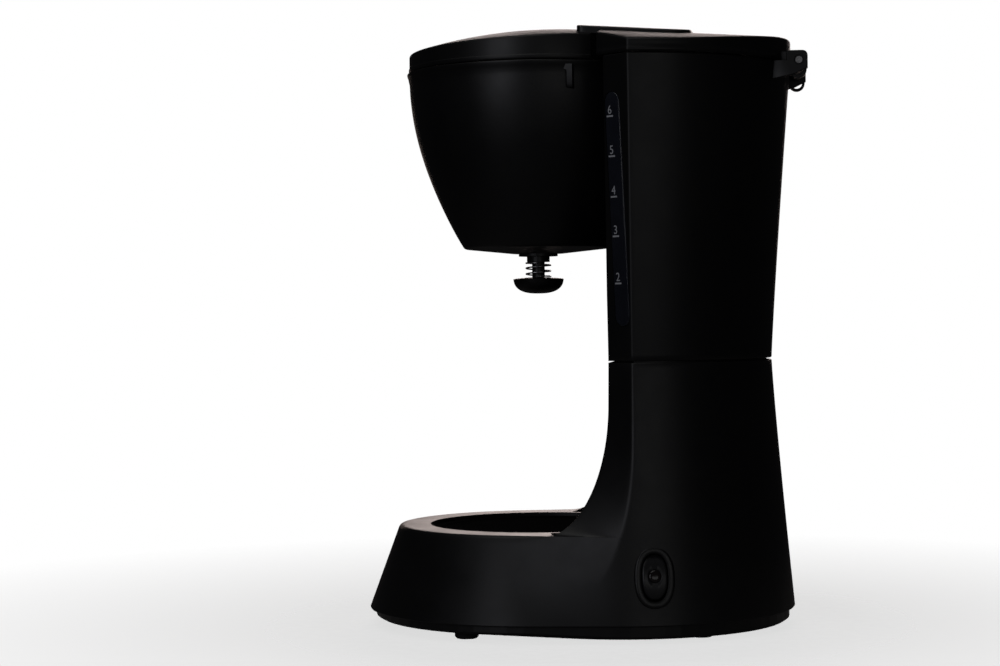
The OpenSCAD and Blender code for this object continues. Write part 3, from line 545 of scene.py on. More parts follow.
class Side:
    """The column's side at a height: its round back, then a straight run that touches the base's circle."""

    def __init__(self, z, inset=0.0):
        self.r = column_r(z) - inset
        self.front_r = base_r(min(z, RING_Z)) - inset
        self.lean = math.asin((self.r - self.front_r) / COLUMN_Y)
        self.out = (math.cos(self.lean), -math.sin(self.lean))
        self.turn = (self.r * self.out[0], COLUMN_Y + self.r * self.out[1])

    def past(self, p):
        """How far a point lies outside the side."""
        if p[1] >= self.turn[1]:
            return math.hypot(p[0], p[1] - COLUMN_Y) - self.r
        return (p[0] - self.turn[0]) * self.out[0] + (p[1] - self.turn[1]) * self.out[1]

    def at_y(self, y):
        if y >= self.turn[1]:
            return (math.sqrt(self.r ** 2 - (y - COLUMN_Y) ** 2), y)
        return (self.turn[0] + (self.turn[1] - y) * self.out[1] / self.out[0], y)

    def points(self, end, count):
        """Evenly spaced points from the middle of the back to just before an end point."""
        corner = max(end[1], self.turn[1])
        arc = (math.pi / 2 - math.asin(max(-1.0, min(1.0, (corner - COLUMN_Y) / self.r)))) * self.r
        run = max(0.0, self.turn[1] - end[1]) / self.out[0]
        found = []
        for i in range(count):
            along = (arc + run) * i / count
            if along <= arc:
                a = math.pi / 2 - along / self.r
                found.append((self.r * math.cos(a), COLUMN_Y + self.r * math.sin(a)))
            else:
                found.append(between(self.turn, end, (along - arc) / run))
        return found


def crease_point(z):
    return Side(z).at_y(crease_y(z))


def flank_touch(z):
    """Where a line from the crease touches the base's round front."""
    crease = crease_point(z)
    r = base_r(z)
    a = math.atan2(crease[1], crease[0]) - math.acos(min(1.0, r / math.hypot(*crease)))
    return (r * math.cos(a), r * math.sin(a))


def front_edge(z):
    """The edge between the slanted corner and the front: on the base, the point of the flank over the arm's foot."""
    if z <= RING_Z:
        crease, touch = crease_point(z), flank_touch(z)
        share = max(0.12, min(0.95, (crease[1] - ARM_FOOT_Y) / max(0.1, crease[1] - touch[1])))
        return between(crease, touch, share)
    top = (column_r(z) - CHAMFER, FRONT_Y)
    low = front_edge(RING_Z)
    t = 1 - swept(z, 0.0, 1.0, 1.9)
    return (top[0] + (low[0] - top[0]) * t ** 1.2, top[1] + (ARM_FOOT_Y - top[1]) * t)


def crossing(start, step, outside, reach=14.0):
    """Where a straight line from a point inside leaves a shape, by halving."""
    low, high = 0.0, reach
    for _ in range(40):
        middle = (low + high) / 2
        if outside((start[0] + step[0] * middle, start[1] + step[1] * middle)) > 0:
            high = middle
        else:
            low = middle
    return (start[0] + step[0] * low, start[1] + step[1] * low)


def side_half(z, ease=1.0, inset=0.0, front_outside=None):
    """The outline from the back to the slanted corner's front edge: (points before the edge, edge)."""
    crease, edge = crease_point(z), front_edge(z)
    side = Side(z, inset)
    if inset:
        length = math.hypot(edge[0] - crease[0], edge[1] - crease[1])
        step = ((edge[0] - crease[0]) / length, (edge[1] - crease[1]) / length)
        inner = between(crease, edge, 0.5)
        inner = (inner[0] + step[1] * inset, inner[1] - step[0] * inset)
        crease = crossing(inner, (-step[0], -step[1]), side.past)
        if front_outside:
            edge = crossing(inner, step, front_outside)
        else:
            edge = (edge[0] + step[1] * inset, edge[1] - step[0] * inset)
    ease = min(ease, 0.4 * math.hypot(edge[0] - crease[0], edge[1] - crease[1]))
    points = side.points(crease, BACK_STEPS)
    points += rounded_corner(points[-1], crease, edge, ease, SOFT_STEPS)
    last = points[-1]
    points += [between(last, edge, (i + 1) / FLANK_STEPS) for i in range(FLANK_STEPS - 1)]
    return points, edge


def side_and_niche(z, ease=0.8, inset=0.0):
    """Half the column's outline where its front is hollow."""
    r = swept(z, RING_IN_R, NICHE_R) + inset
    half, edge = side_half(z, ease, inset, lambda p: r - math.hypot(*p))
    if inset:
        start = math.atan2(edge[1], edge[0])
    else:
        t = (edge[1] - ARM_FOOT_Y) / (FRONT_Y - ARM_FOOT_Y)
        start = math.asin(min(0.98, (edge[1] + 6.0 * (1 - t)) / r))
        if r * math.cos(start) > edge[0] - 0.5:
            start = math.acos(min(0.98, (edge[0] - 0.5) / r))
    meet = (r * math.cos(start), r * math.sin(start))
    room = 0.4 * math.hypot(edge[0] - meet[0], edge[1] - meet[1])
    soft = 0.0 if inset else min(room, 0.6 * max(0.0, min(1.0, (z - RING_Z) / 8.0)))
    half += rounded_corner(half[-1], edge, meet, soft, SOFT_STEPS)
    half += [between(edge, meet, (i + 1) / FRONT_STEPS) for i in range(FRONT_STEPS - 1)]
    for i in range(NICHE_STEPS + 1):
        a = start + (math.pi / 2 - start) * i / NICHE_STEPS
        half.append((r * math.cos(a), r * math.sin(a)))
    return half


def side_and_flat(z, inset=0.0):
    """Half the column's outline where its front is flat, above the bucket's bottom."""
    half, edge = side_half(z, 0.8, inset, lambda p: FRONT_Y + inset - p[1])
    half += rounded_corner(half[-1], edge, (0.0, edge[1]), 0.0 if inset else 0.6, SOFT_STEPS)
    count = FRONT_COUNT - SOFT_STEPS
    last = half[-1]
    half += [between(last, (0.0, edge[1]), (i + 1) / count) for i in range(count)]
    return half


def base_outline(z, ease=1.2, inset=0.0, drawn_in=0.0):
    """Half the base's outline: side, flank and round front, whose top edge may be drawn in."""
    half, edge = side_half(z, ease, inset)
    touch = flank_touch(z)
    r = base_r(z) - inset
    start = math.atan2(touch[1], touch[0])
    touch = (r * math.cos(start), r * math.sin(start))
    steps = SOFT_STEPS + 4
    front = [between(edge, touch, i / steps) for i in range(steps)]
    count = FRONT_COUNT - steps
    for i in range(count):
        a = start + (-math.pi / 2 - start) * i / (count - 1)
        front.append((r * math.cos(a), r * math.sin(a)))
    for i, (x, y) in enumerate(front):
        share = 1 - drawn_in * min(1.0, i / 6.0) / math.hypot(x, y)
        half.append((x * share, y * share))
    return half


def whole(half, z):
    """Both halves of an outline as one ring of points at a height."""
    other = [(-x, y) for x, y in reversed(half[1:-1])]
    return [(x, y, z) for x, y in half + other]


def shrunk(ring, amount):
    """A ring moved inwards in its plane."""
    count = len(ring)
    moved = []
    for i, (x, y, z) in enumerate(ring):
        ax, ay, _ = ring[i - 1]
        bx, by, _ = ring[(i + 1) % count]
        dx, dy = bx - ax, by - ay
        length = math.hypot(dx, dy) or 1.0
        moved.append((x + amount * dy / length, y - amount * dx / length, z))
    return moved


def heights(low, high, step):
    count = max(1, round((high - low) / step))
    return [low + (high - low) * i / count for i in range(count + 1)]


# ---- Housings ----
def bar_solid(name, width, length, x0, x1, slot, frame_matrix, ease=0.0, steps=20):
    """A bar with round ends in a tilted frame, from x0 to x1 along that frame's x."""
    half = length / 2 - width / 2
    outline = []
    for i in range(steps + 1):
        a = math.pi * i / steps
        outline.append((math.cos(a) * width / 2, half + math.sin(a) * width / 2))
    for i in range(steps + 1):
        a = math.pi + math.pi * i / steps
        outline.append((math.cos(a) * width / 2, -half + math.sin(a) * width / 2))
    levels = [(x0, 0.0), (x1, 0.0)]
    if ease:
        levels = [(x0, 0.0)] + [
            (x1 - ease * (1 - math.sin(t * math.pi / 8)), ease * (1 - math.cos(t * math.pi / 8))) for t in range(5)
        ]
    rings = []
    for x, inward in levels:
        scale_y = (width / 2 - inward) / (width / 2)
        ring = []
        for y, z in outline:
            end = math.copysign(half, z)
            ring.append((x, y * scale_y, end + (z - end) * scale_y))
        rings.append([tuple(frame_matrix @ Vector(p)) for p in ring])
    return solid(name, rings, slot)


WINDOW_Z0 = 134.0
WINDOW_Z1 = 234.0
WINDOW_W = 9.4
WINDOW_MID = (WINDOW_Z0 + WINDOW_Z1) / 2
WINDOW_LEAN = math.atan((column_r(WINDOW_Z1) - column_r(WINDOW_Z0)) / (WINDOW_Z1 - WINDOW_Z0) / math.sqrt(2))


def window_frame():
    """The window's own axes: x out of the slanted corner, y across it, z up along it."""
    centre = Vector((column_r(WINDOW_MID) - CHAMFER / 2, FRONT_Y + CHAMFER / 2, WINDOW_MID))
    turn = Matrix.Rotation(math.radians(-45.0), 4, "Z") @ Matrix.Rotation(WINDOW_LEAN, 4, "Y")
    return Matrix.Translation(centre) @ turn


SWITCH_Z = 28.0
SWITCH_TURN = math.radians(13.5)
WALL_LEAN = math.radians(7.0)
SWITCH_R = column_r(SWITCH_Z) - 1.2
BEZEL_W = 17.6
BEZEL_H = 26.4
BUTTON_W = 11.0
BUTTON_H = 19.6


def switch_frame():
    """The switch's own axes: x out of the wall, y across it, z up along it."""
    centre = Vector((
        SWITCH_R * math.cos(SWITCH_TURN), COLUMN_Y + SWITCH_R * math.sin(SWITCH_TURN), SWITCH_Z
    ))
    turn = Matrix.Rotation(SWITCH_TURN, 4, "Z") @ Matrix.Rotation(-WALL_LEAN, 4, "Y")
    return Matrix.Translation(centre) @ turn


def oval_ring(width, height, x, matrix, count=96, bulge=0.85):
    ring = []
    for i in range(count):
        a = 2 * math.pi * i / count
        c, s = math.cos(a), math.sin(a)
        y = math.copysign(abs(c) ** bulge, c) * width / 2
        z = math.copysign(abs(s) ** bulge, s) * height / 2
        ring.append(tuple(matrix @ Vector((x, y, z))))
    return ring


def bucket_at(z):
    t = max(0.0, min(1.0, (z - BUCKET_Z) / (LID_Z - 3 - BUCKET_Z)))
    return BUCKET_BOTTOM_R + (BUCKET_R - BUCKET_BOTTOM_R) * math.sin(math.pi / 2 * t) ** 0.9


def bucket_profile():
    """The bucket's wall in section: outside from the opening up to the lip, and back down the inside."""
    outer = [(HUB_R + 0.7, BUCKET_Z - 2.2), (HUB_R + 3, BUCKET_Z - 2.2)]
    outer += rounded_corner(
        (HUB_R + 3, BUCKET_Z - 2.2), (BUCKET_BOTTOM_R + 0.2, BUCKET_Z + 0.1),
        (bucket_at(BUCKET_Z + 3), BUCKET_Z + 3), 1.1, 7
    )
    outer += [(bucket_at(z), z) for z in heights(BUCKET_Z + 1.6, LID_Z - 6.5, 1.5)]
    outer += [(BUCKET_R + 0.02, LID_Z - 5.4), (LIP_R - 0.5, LID_Z - 2.6), (LIP_R - 0.05, LID_Z - 1.3)]
    outer += rounded_corner((LIP_R - 0.05, LID_Z - 1.3), (LIP_R, HOUSING_TOP), (LIP_R - 3, HOUSING_TOP), 0.35, 4)
    inner = [(BUCKET_R - WALL, HOUSING_TOP)]
    inner += [(bucket_at(z) - WALL, z) for z in reversed(heights(BUCKET_Z + WALL + 1, LID_Z - 3, 3.0))]
    inner += [(BUCKET_BOTTOM_R - WALL - 0.5, BUCKET_Z + WALL), (HUB_R + 0.7, BUCKET_Z + WALL)]
    return outer + inner


HOSE_X = 24.0
HOSE_Y = 84.0


def upper_housing():
    """The upper housing: column shell with the tank's floor, joined to the bucket."""
    rings = []
    for z, inward in ((SEAM_Z + 0.4, 0.45), (SEAM_Z + 0.5, 0.2), (SEAM_Z + 0.8, 0.0)):
        rings.append(shrunk(whole(side_and_niche(z), z), inward))
    rings += [whole(side_and_niche(z), z) for z in heights(SEAM_Z + 3, BUCKET_Z, 4.0)]
    rings += [whole(side_and_flat(z), z) for z in heights(BUCKET_Z + 0.06, HOUSING_TOP - 0.4, 4.0)]
    rings.append(shrunk(whole(side_and_flat(HOUSING_TOP), HOUSING_TOP), 0.3))
    shell = solid("upper_housing_shell", rings, "housing_plastic")
    rings = [whole(side_and_niche(z, 0.0, WALL), z) for z in heights(SEAM_Z + WALL + 0.4, BUCKET_Z + WALL, 8.0)]
    rings += [whole(side_and_flat(z, WALL), z) for z in heights(BUCKET_Z + WALL + 0.06, LID_Z + 3, 8.0)]
    cavity = solid("cavity", rings, "housing_plastic")
    core = revolve(
        [(0.0, BUCKET_Z - 3)] + [(bucket_at(z) - 0.4, z) for z in heights(BUCKET_Z, LID_Z - 3, 2.0)]
        + [(BUCKET_R - 0.4, LID_Z + 5), (0.0, LID_Z + 5)], 160
    )
    cutter = mesh_object("bucket_core", core[0], core[1], "housing_plastic")
    recess = bar_solid("recess", WINDOW_W, WINDOW_Z1 - WINDOW_Z0, -1.6, 8.0, "housing_plastic", window_frame())
    hole = bar_solid("hole", WINDOW_W - 2, WINDOW_Z1 - WINDOW_Z0 - 2, -8.0, 8.0, "housing_plastic", window_frame())
    hoses = [post("hose_hole", x, HOSE_Y, 6.0, SEAM_Z - 2, SEAM_Z + 6) for x in (-HOSE_X, HOSE_X)]
    cut(shell, [cavity, cutter, recess, hole] + hoses)
    verts, faces = revolve(bucket_profile(), 192)
    bucket = mesh_object("bucket", verts, faces, "housing_plastic", 50.0)
    join_into(shell, [bucket, bucket_rib(), *[hinge_lug(s) for s in (-1, 1)]])
    shell.name = "upper_housing_moulding"
    return piece(shell, "machine", "housing_plastic", "upper_housing")


def post(name, x, y, radius, low, high):
    """An upright round bar, mostly to cut holes with."""
    verts, faces = revolve([(0.0, low), (radius, low), (radius, high), (0.0, high)], 40)
    return mesh_object(name, [(px + x, py + y, pz) for px, py, pz in verts], faces, "housing_plastic")


def plate(name, outline, x0, x1, slot, ease=0.5):
    """An upright plate: an outline of (y, z) from x0 to x1, with its edges eased."""
    middle_y = sum(y for y, z in outline) / len(outline)
    middle_z = sum(z for y, z in outline) / len(outline)
    rings = []
    levels = [(x0, ease), (x0 + ease * 0.3, ease * 0.3), (x0 + ease, 0.0)]
    levels += [(x1 - ease, 0.0), (x1 - ease * 0.3, ease * 0.3), (x1, ease)]
    size = max(math.hypot(y - middle_y, z - middle_z) for y, z in outline)
    for x, inward in levels:
        scale = 1 - inward / size
        rings.append([(x, middle_y + (y - middle_y) * scale, middle_z + (z - middle_z) * scale) for y, z in outline])
    return solid(name, rings, slot)


LUG_X0 = 26.2
LUG_X1 = 32.0
PIN_R = 1.5
PIN_Y = 118.5
PIN_Z = LID_Z - 0.4


def hinge_lug(side):
    """One ear of the hinge on the rear wall, with a rounded top corner over the pin."""
    outline = [(104.5, LID_Z - 9), (106.0, LID_Z - 0.6), (PIN_Y - 5.5, LID_Z - 0.6), (PIN_Y - 5.5, PIN_Z + 4.2)]
    outline += rounded_corner((PIN_Y - 5.5, PIN_Z + 4.2), (PIN_Y + 3.8, PIN_Z + 4.2), (PIN_Y + 3.8, PIN_Z - 3.4), 2.6, 9)
    outline += [(PIN_Y + 3.8, PIN_Z - 3.4), (PIN_Y - 2.0, PIN_Z - 6.2)]
    x0, x1 = (LUG_X0, LUG_X1) if side > 0 else (-LUG_X1, -LUG_X0)
    lug = plate("lug", outline, x0, x1, "housing_plastic", 0.6)
    verts, faces = revolve([(0.0, -0.9), (PIN_R + 0.7, -0.9), (PIN_R + 0.7, 0.9), (0.0, 0.9)], 32)
    face_x = LUG_X1 * side
    seat = mesh_object("pin_seat", [(face_x + z, PIN_Y + y, PIN_Z + x) for x, y, z in verts], faces, "housing_plastic")
    return cut(lug, [seat])


RIB_TURN = 0.55


def bucket_rib():
    """The small upright rib with its gusset, under the bucket's lip on the switch side."""
    x, y = 54.6, 20.5
    turn = Matrix.Translation((x, y, 0)) @ Matrix.Rotation(math.atan2(y, x) - RIB_TURN, 4, "Z")
    outline = [(-2.0, 237.0), (1.0, 237.6), (1.5, 239.0), (1.7, LID_Z - 2.6), (-2.0, LID_Z - 2.6)]
    verts, faces = loft(
        [[tuple(turn @ Vector((px, s, pz))) for px, pz in outline] for s in (-1.2, -0.9, 0.9, 1.2)],
        first_cap=True, last_cap=True
    )
    gusset = [(-6.5, LID_Z - 3.2), (0.8, LID_Z - 5.6), (0.8, LID_Z - 2.4), (-6.5, LID_Z - 2.4)]
    more = loft(
        [[tuple(turn @ Vector((px, py, pz))) for py, pz in gusset] for px in (-2.0, 1.2)],
        first_cap=True, last_cap=True
    )
    verts, faces = joined([(verts, faces), more])
    return mesh_object("rib", verts, faces, "housing_plastic")


def lower_housing():
    """The base, its ring and the lower half of the column in one moulding."""
    wall = 2.2
    base = []
    for z, inward in ((BASE_Z, 0.9), (BASE_Z + 0.15, 0.4), (BASE_Z + 0.6, 0.0)):
        base.append(shrunk(whole(base_outline(z), z), inward))
    base += [whole(base_outline(z), z) for z in heights(BASE_Z + 2.0, RING_Z - 1.2, 2.2)]
    soft = 1.2
    for t in (0.35, 0.7, 1.0):
        z = RING_Z - soft + soft * math.sin(t * math.pi / 2)
        rim = base_outline(z, drawn_in=soft * (1 - math.cos(t * math.pi / 2)))
        base.append(whole(rim, z))
    column = []
    for z in [RING_Z, RING_Z + 0.4, RING_Z + 1.0, RING_Z + 1.8] + heights(RING_Z + 3.0, SEAM_Z - 0.9, 2.2):
        column.append(whole(side_and_niche(z, 1.2 if z < 90 else 0.8 + 0.4 * (SEAM_Z - z) / 29), z))
    for z, inward in ((SEAM_Z - 0.55, 0.15), (SEAM_Z - 0.4, 0.45)):
        column.append(shrunk(whole(side_and_niche(z), z), inward))
    parts = [loft(base, first_cap=True), loft(column, last_cap=True), ring_top(rim[-FRONT_COUNT:]), recess_cup()]
    verts, faces = joined(parts)
    obj = mesh_object("lower_housing_skin", verts, faces, "housing_plastic", 40.0)
    inner_levels = [BASE_Z, 15.0, 25.0, 35.0, RING_Z - wall]
    rings = [whole(base_outline(z, 0.0, wall), z - (2.0 if z == BASE_Z else 0.0)) for z in inner_levels]
    hollow = solid("base_hollow", rings, "housing_plastic")
    cup = revolve([(0.0, LEDGE_Z - wall), (RING_IN_R + 2.0, LEDGE_Z - wall), (RING_IN_R + 2.0, 60.0), (0.0, 60.0)], 120)
    cut(hollow, [mesh_object("cup", cup[0], cup[1], "housing_plastic")])
    rings = []
    for z in [RING_Z - 3.0] + heights(RING_Z, SEAM_Z + 2.0, 6.0):
        level = min(max(z, RING_Z), SEAM_Z - 0.9)
        rings.append(whole(side_and_niche(level, 0.0, wall), z))
    column_hollow = solid("column_hollow", rings, "housing_plastic")
    plate_hole = revolve([(0.0, 30.0), (RING_IN_R - 5.5, 30.0), (RING_IN_R - 5.5, 43.0), (0.0, 43.0)], 120)
    opening = mesh_object("plate_hole", plate_hole[0], plate_hole[1], "housing_plastic")
    frame_matrix = switch_frame()
    hole = loft(
        [oval_ring(BEZEL_W - 3.4, BEZEL_H - 3.4, x, frame_matrix) for x in (-6.0, 6.0)], first_cap=True, last_cap=True
    )
    cutter = mesh_object("switch_hole", hole[0], hole[1], "housing_plastic")
    cut(obj, [hollow, column_hollow, opening, cutter, gland_hole()], sharp=40.0)
    join_into(obj, [collar()])
    obj.name = "lower_housing_moulding"
    return piece(obj, "machine", "housing_plastic", "lower_housing")


GLAND_Z = 24.0
GLAND_TURN = math.radians(26.0)
GLAND_SEAT = 12.6


def gland_hole():
    """The square seat of the cord's gland, in the rear wall."""
    half = GLAND_SEAT / 2
    turn = Matrix.Translation((0, COLUMN_Y, GLAND_Z)) @ Matrix.Rotation(GLAND_TURN, 4, "Z")
    square = ((-half, -half), (half, -half), (half, half), (-half, half))
    rings = [[tuple(turn @ Vector((x, column_r(GLAND_Z) + out, z))) for x, z in square] for out in (-8.0, 8.0)]
    return solid("gland_hole", rings, "housing_plastic")


def recess_arc(count):
    """The recess's rim from the arm's foot round the front to the middle."""
    meet = side_and_niche(RING_Z)[-(NICHE_STEPS + 1)]
    start = math.atan2(meet[1], meet[0])
    angles = [start + (-math.pi / 2 - start) * i / (count - 1) for i in range(count)]
    return [(RING_IN_R * math.cos(a), RING_IN_R * math.sin(a)) for a in angles]


def ring_top(outer):
    """The flat ring round the recess, from the base's eased edge, as far back as the arm's foot."""
    inner = recess_arc(len(outer))
    rows = []
    for k in range(FRONT_STEPS + 1):
        row = [(*between(p, q, k / FRONT_STEPS), RING_Z) for p, q in zip(outer, inner)]
        rows.append(row + [(-x, y, z) for x, y, z in reversed(row[:-1])])
    return loft(rows, around=False)


def recess_cup():
    """The recess's wall and floor, under the whole of its rim."""
    niche = side_and_niche(RING_Z)[-(NICHE_STEPS + 1):]
    half = list(reversed(niche)) + recess_arc(FRONT_COUNT)[1:]
    return loft([whole(half, RING_Z), whole(half, LEDGE_Z)], last_cap=True)


def collar():
    """The inner collar that the two housings share, seen as the bottom of the joint's groove."""
    rings = []
    for z, inward in ((SEAM_Z - 4, 2.3), (SEAM_Z + 3, 2.3), (SEAM_Z + 3, 3.6), (SEAM_Z - 4, 3.6)):
        rings.append(whole(side_and_niche(SEAM_Z, 0.0, inward), z))
    verts, faces = loft(rings, along=True)
    return mesh_object("collar", verts, faces, "housing_plastic")


# ---- Lid ----
FRONT_LID_R = 57.8
NECK_R = 54.5
NECK_Y = 29.0
LID_FRONT_Y = 32.5
PANEL_Y = 22.5
PANEL_X = 46.0
PANEL_BACK = 72.0
LID_R = TOP_R + 0.3
FRONT_DOME_R = 217.0
FRONT_DOME_Y = 8.0
FRONT_DOME_Z = 268.0
REAR_ARCH_R = 290.0
REAR_ARCH_Z = 267.6
REAR_SLOPE = math.tan(math.radians(4.0))
PANEL_T = 1.4
BEAD_Z = LID_Z + 2.0


def dome_z(x, y):
    """Height of the lid's front, a shallow dome."""
    rise = math.sqrt(FRONT_DOME_R ** 2 - x * x - (y - FRONT_DOME_Y) ** 2)
    return FRONT_DOME_Z - FRONT_DOME_R + rise


def lifted(verts):
    """Carries a shape drawn under a flat top at the dome's height up or down to the dome, all above the bead."""
    moved = []
    for x, y, z in verts:
        share = max(0.0, min(1.0, (z - BEAD_Z) / (FRONT_DOME_Z - 12.0 - BEAD_Z)))
        moved.append((x, y, z + share * (dome_z(x, y) - FRONT_DOME_Z)))
    return moved


def front_lid():
    """The lid's round front, down to its bead, closed underneath."""
    rim = FRONT_DOME_Z
    profile = [(r, rim) for r in heights(0.0, FRONT_LID_R - 1.6, 3.0)]
    profile += rounded_corner((FRONT_LID_R - 2, rim), (FRONT_LID_R, rim), (FRONT_LID_R, LID_Z + 3), 0.9, 6)
    profile += [(FRONT_LID_R, LID_Z + 2.0), (FRONT_LID_R + 0.3, LID_Z + 1.7), (FRONT_LID_R + 0.35, LID_Z + 0.5)]
    profile += [(FRONT_LID_R + 0.1, LID_Z), (FRONT_LID_R - 2.2, LID_Z), (FRONT_LID_R - 2.2, rim - 2.0)]
    profile += [(r, rim - 2.2) for r in reversed(heights(0.0, FRONT_LID_R - 3, 4.0))]
    verts, faces = revolve(profile, 192)
    obj = mesh_object("front_lid", lifted(verts), faces, "housing_plastic", 40.0)
    box = box_solid("box", (-100, NECK_Y, 200), (100, 160, 300))
    cut(obj, [box], sharp=40.0)
    return obj


def box_solid(name, low, high):
    (x0, y0, z0), (x1, y1, z1) = low, high
    verts = [(x, y, z) for x in (x0, x1) for y in (y0, y1) for z in (z0, z1)]
    faces = [(0, 1, 3, 2), (4, 6, 7, 5), (0, 4, 5, 1), (2, 3, 7, 6), (0, 2, 6, 4), (1, 5, 7, 3)]
    return mesh_object(name, verts, faces, "housing_plastic")


def lid_neck():
    """The narrower waist between the lid's round front and its rear."""
    profile = [(r, FRONT_DOME_Z - 0.05) for r in heights(0.0, NECK_R, 3.0)]
    profile += [(NECK_R, LID_Z + 0.3), (NECK_R - 2.2, LID_Z + 0.3), (NECK_R - 2.2, FRONT_DOME_Z - 2.4)]
    profile += [(r, FRONT_DOME_Z - 2.4) for r in reversed(heights(0.0, NECK_R - 4.0, 4.0))]
    verts, faces = revolve(profile, 192)
    obj = mesh_object("neck", lifted(verts), faces, "housing_plastic", 40.0)
    boxes = [box_solid("a", (-100, -100, 200), (100, NECK_Y - 0.6, 300)),
             box_solid("b", (-100, LID_FRONT_Y + 1.2, 200), (100, 160, 300))]
    cut(obj, boxes, sharp=40.0)
    return obj


def rear_lid_half(inset):
    """The rear part of the lid in plan, half of it, from the back to the middle of its front."""
    r = LID_R - inset
    corner_y = 46.4
    crease = (math.sqrt(r * r - (corner_y - COLUMN_Y) ** 2), corner_y)
    edge_x = crease[0] - (corner_y - LID_FRONT_Y) - inset * 0.4
    edge = (edge_x, LID_FRONT_Y + inset)
    end = math.atan2(crease[1] - COLUMN_Y, crease[0])
    points = []
    for i in range(BACK_STEPS):
        a = math.pi / 2 + (end - math.pi / 2) * i / BACK_STEPS
        points.append((r * math.cos(a), COLUMN_Y + r * math.sin(a)))
    points += rounded_corner(points[-1], crease, edge, 0.7, SOFT_STEPS)
    points += [between(points[-1], edge, (i + 1) / FLANK_STEPS) for i in range(FLANK_STEPS - 1)]
    points += rounded_corner(crease, edge, (0.0, edge[1]), 0.7, SOFT_STEPS)
    points += [between(points[-1], (0.0, edge[1]), (i + 1) / 14) for i in range(14)]
    return points


def rear_height(x, y):
    """Height of the lid's rear, an arch across it that falls gently towards the hinge."""
    return REAR_ARCH_Z - REAR_ARCH_R + math.sqrt(REAR_ARCH_R ** 2 - x * x) - REAR_SLOPE * (y - PANEL_Y)


def domed(plan, ease, soft_steps, middle, height):
    """Rings from a plan's edge, eased over and across a top whose height is a function of x and y."""
    rings = []
    for t in soft_steps:
        inward, rise = ease * (1 - math.cos(t * math.pi / 2)), ease * math.sin(t * math.pi / 2)
        rings.append([(x, y, height(x, y) - ease + rise) for x, y, _ in shrunk(plan, inward)])
    for share in heights(0.04, 0.96, 0.04):
        spots = [between((x, y), middle, share) for x, y, _ in shrunk(plan, ease)]
        rings.append([(x, y, height(x, y)) for x, y in spots])
    return rings


def rear_lid():
    """The lid's rear: a rim that follows the column, and a shallow dome."""
    plan = whole(rear_lid_half(0.0), 0.0)
    rings = []
    for z, inward in ((LID_Z, 0.1), (LID_Z + 0.5, -0.25), (LID_Z + 1.6, -0.2), (LID_Z + 1.9, 0.0), (LID_Z + 3.5, 0.0)):
        rings.append([(x, y, z) for x, y, _ in shrunk(plan, inward)])
    rings += domed(plan, 0.9, (0.0, 0.25, 0.5, 0.75, 1.0), (0.0, 66.0), rear_height)
    verts, faces = loft(rings, last_cap=True)
    obj = mesh_object("rear_lid", verts, faces, "housing_plastic", 40.0)
    return thicken(obj, 2.2)


def lid_shell():
    obj = rear_lid()
    smooth(obj, 40.0)
    join_into(obj, [front_lid(), lid_neck(), *[lid_knuckle(s) for s in (-1, 1)]])
    obj.name = "lid_moulding"
    return piece(obj, "lid", "housing_plastic", "lid_shell")


def lid_knuckle(side):
    outline = []
    for i in range(15):
        a = math.radians(90.0 - 250.0 * i / 14)
        outline.append((PIN_Y + 3.4 * math.cos(a), PIN_Z + 3.4 * math.sin(a)))
    outline += [(PIN_Y - 3.2, LID_Z + 0.4), (109.0, LID_Z + 0.4), (109.0, LID_Z + 4.5)]
    x0, x1 = (18.0, LUG_X0 - 0.6) if side > 0 else (-LUG_X0 + 0.6, -18.0)
    return plate("knuckle", outline, x0, x1, "housing_plastic", 0.4)


def lid_panel():
    """The raised cover on the lid's rear, with a rounded step at its front."""
    half = [(PANEL_X * i / 12, PANEL_BACK) for i in range(10)]
    half += rounded_corner((0.0, PANEL_BACK), (PANEL_X, PANEL_BACK), (PANEL_X, PANEL_Y), 11.0, 16)
    half += [between((PANEL_X, PANEL_BACK - 11.0), (PANEL_X, PANEL_Y), (i + 1) / 8) for i in range(7)]
    half += rounded_corner((PANEL_X, COLUMN_Y), (PANEL_X, PANEL_Y), (0.0, PANEL_Y), 3.0, 7)
    half += [between((PANEL_X - 3, PANEL_Y), (0.0, PANEL_Y), (i + 1) / 12) for i in range(12)]
    plan = whole(half, 0.0)
    rings = []

    def height(x, y):
        return rear_height(x, y) + PANEL_T

    rings.append([(x, y, min(rear_height(x, y), dome_z(x, y) if y < COLUMN_Y else 999.0) - 0.5) for x, y, _ in plan])
    rings += domed(plan, 0.7, (0.0, 0.3, 0.6, 1.0), (0.0, 52.0), height)
    obj = solid("lid_cover", rings, "satin_plastic", 40.0)
    return piece(obj, "lid", "satin_plastic", "lid_panel")


# ---- Window ----
MARKS = ((2, 152.5), (3, 172.6), (4, 189.4), (5, 206.6), (6, 223.6))


def water_window():
    matrix = window_frame()
    obj = bar_solid("window", WINDOW_W - 0.3, WINDOW_Z1 - WINDOW_Z0 - 0.3, -2.4, 0.05, "window_clear", matrix, 0.5)
    piece(obj, "machine", "window_clear", "water_window")


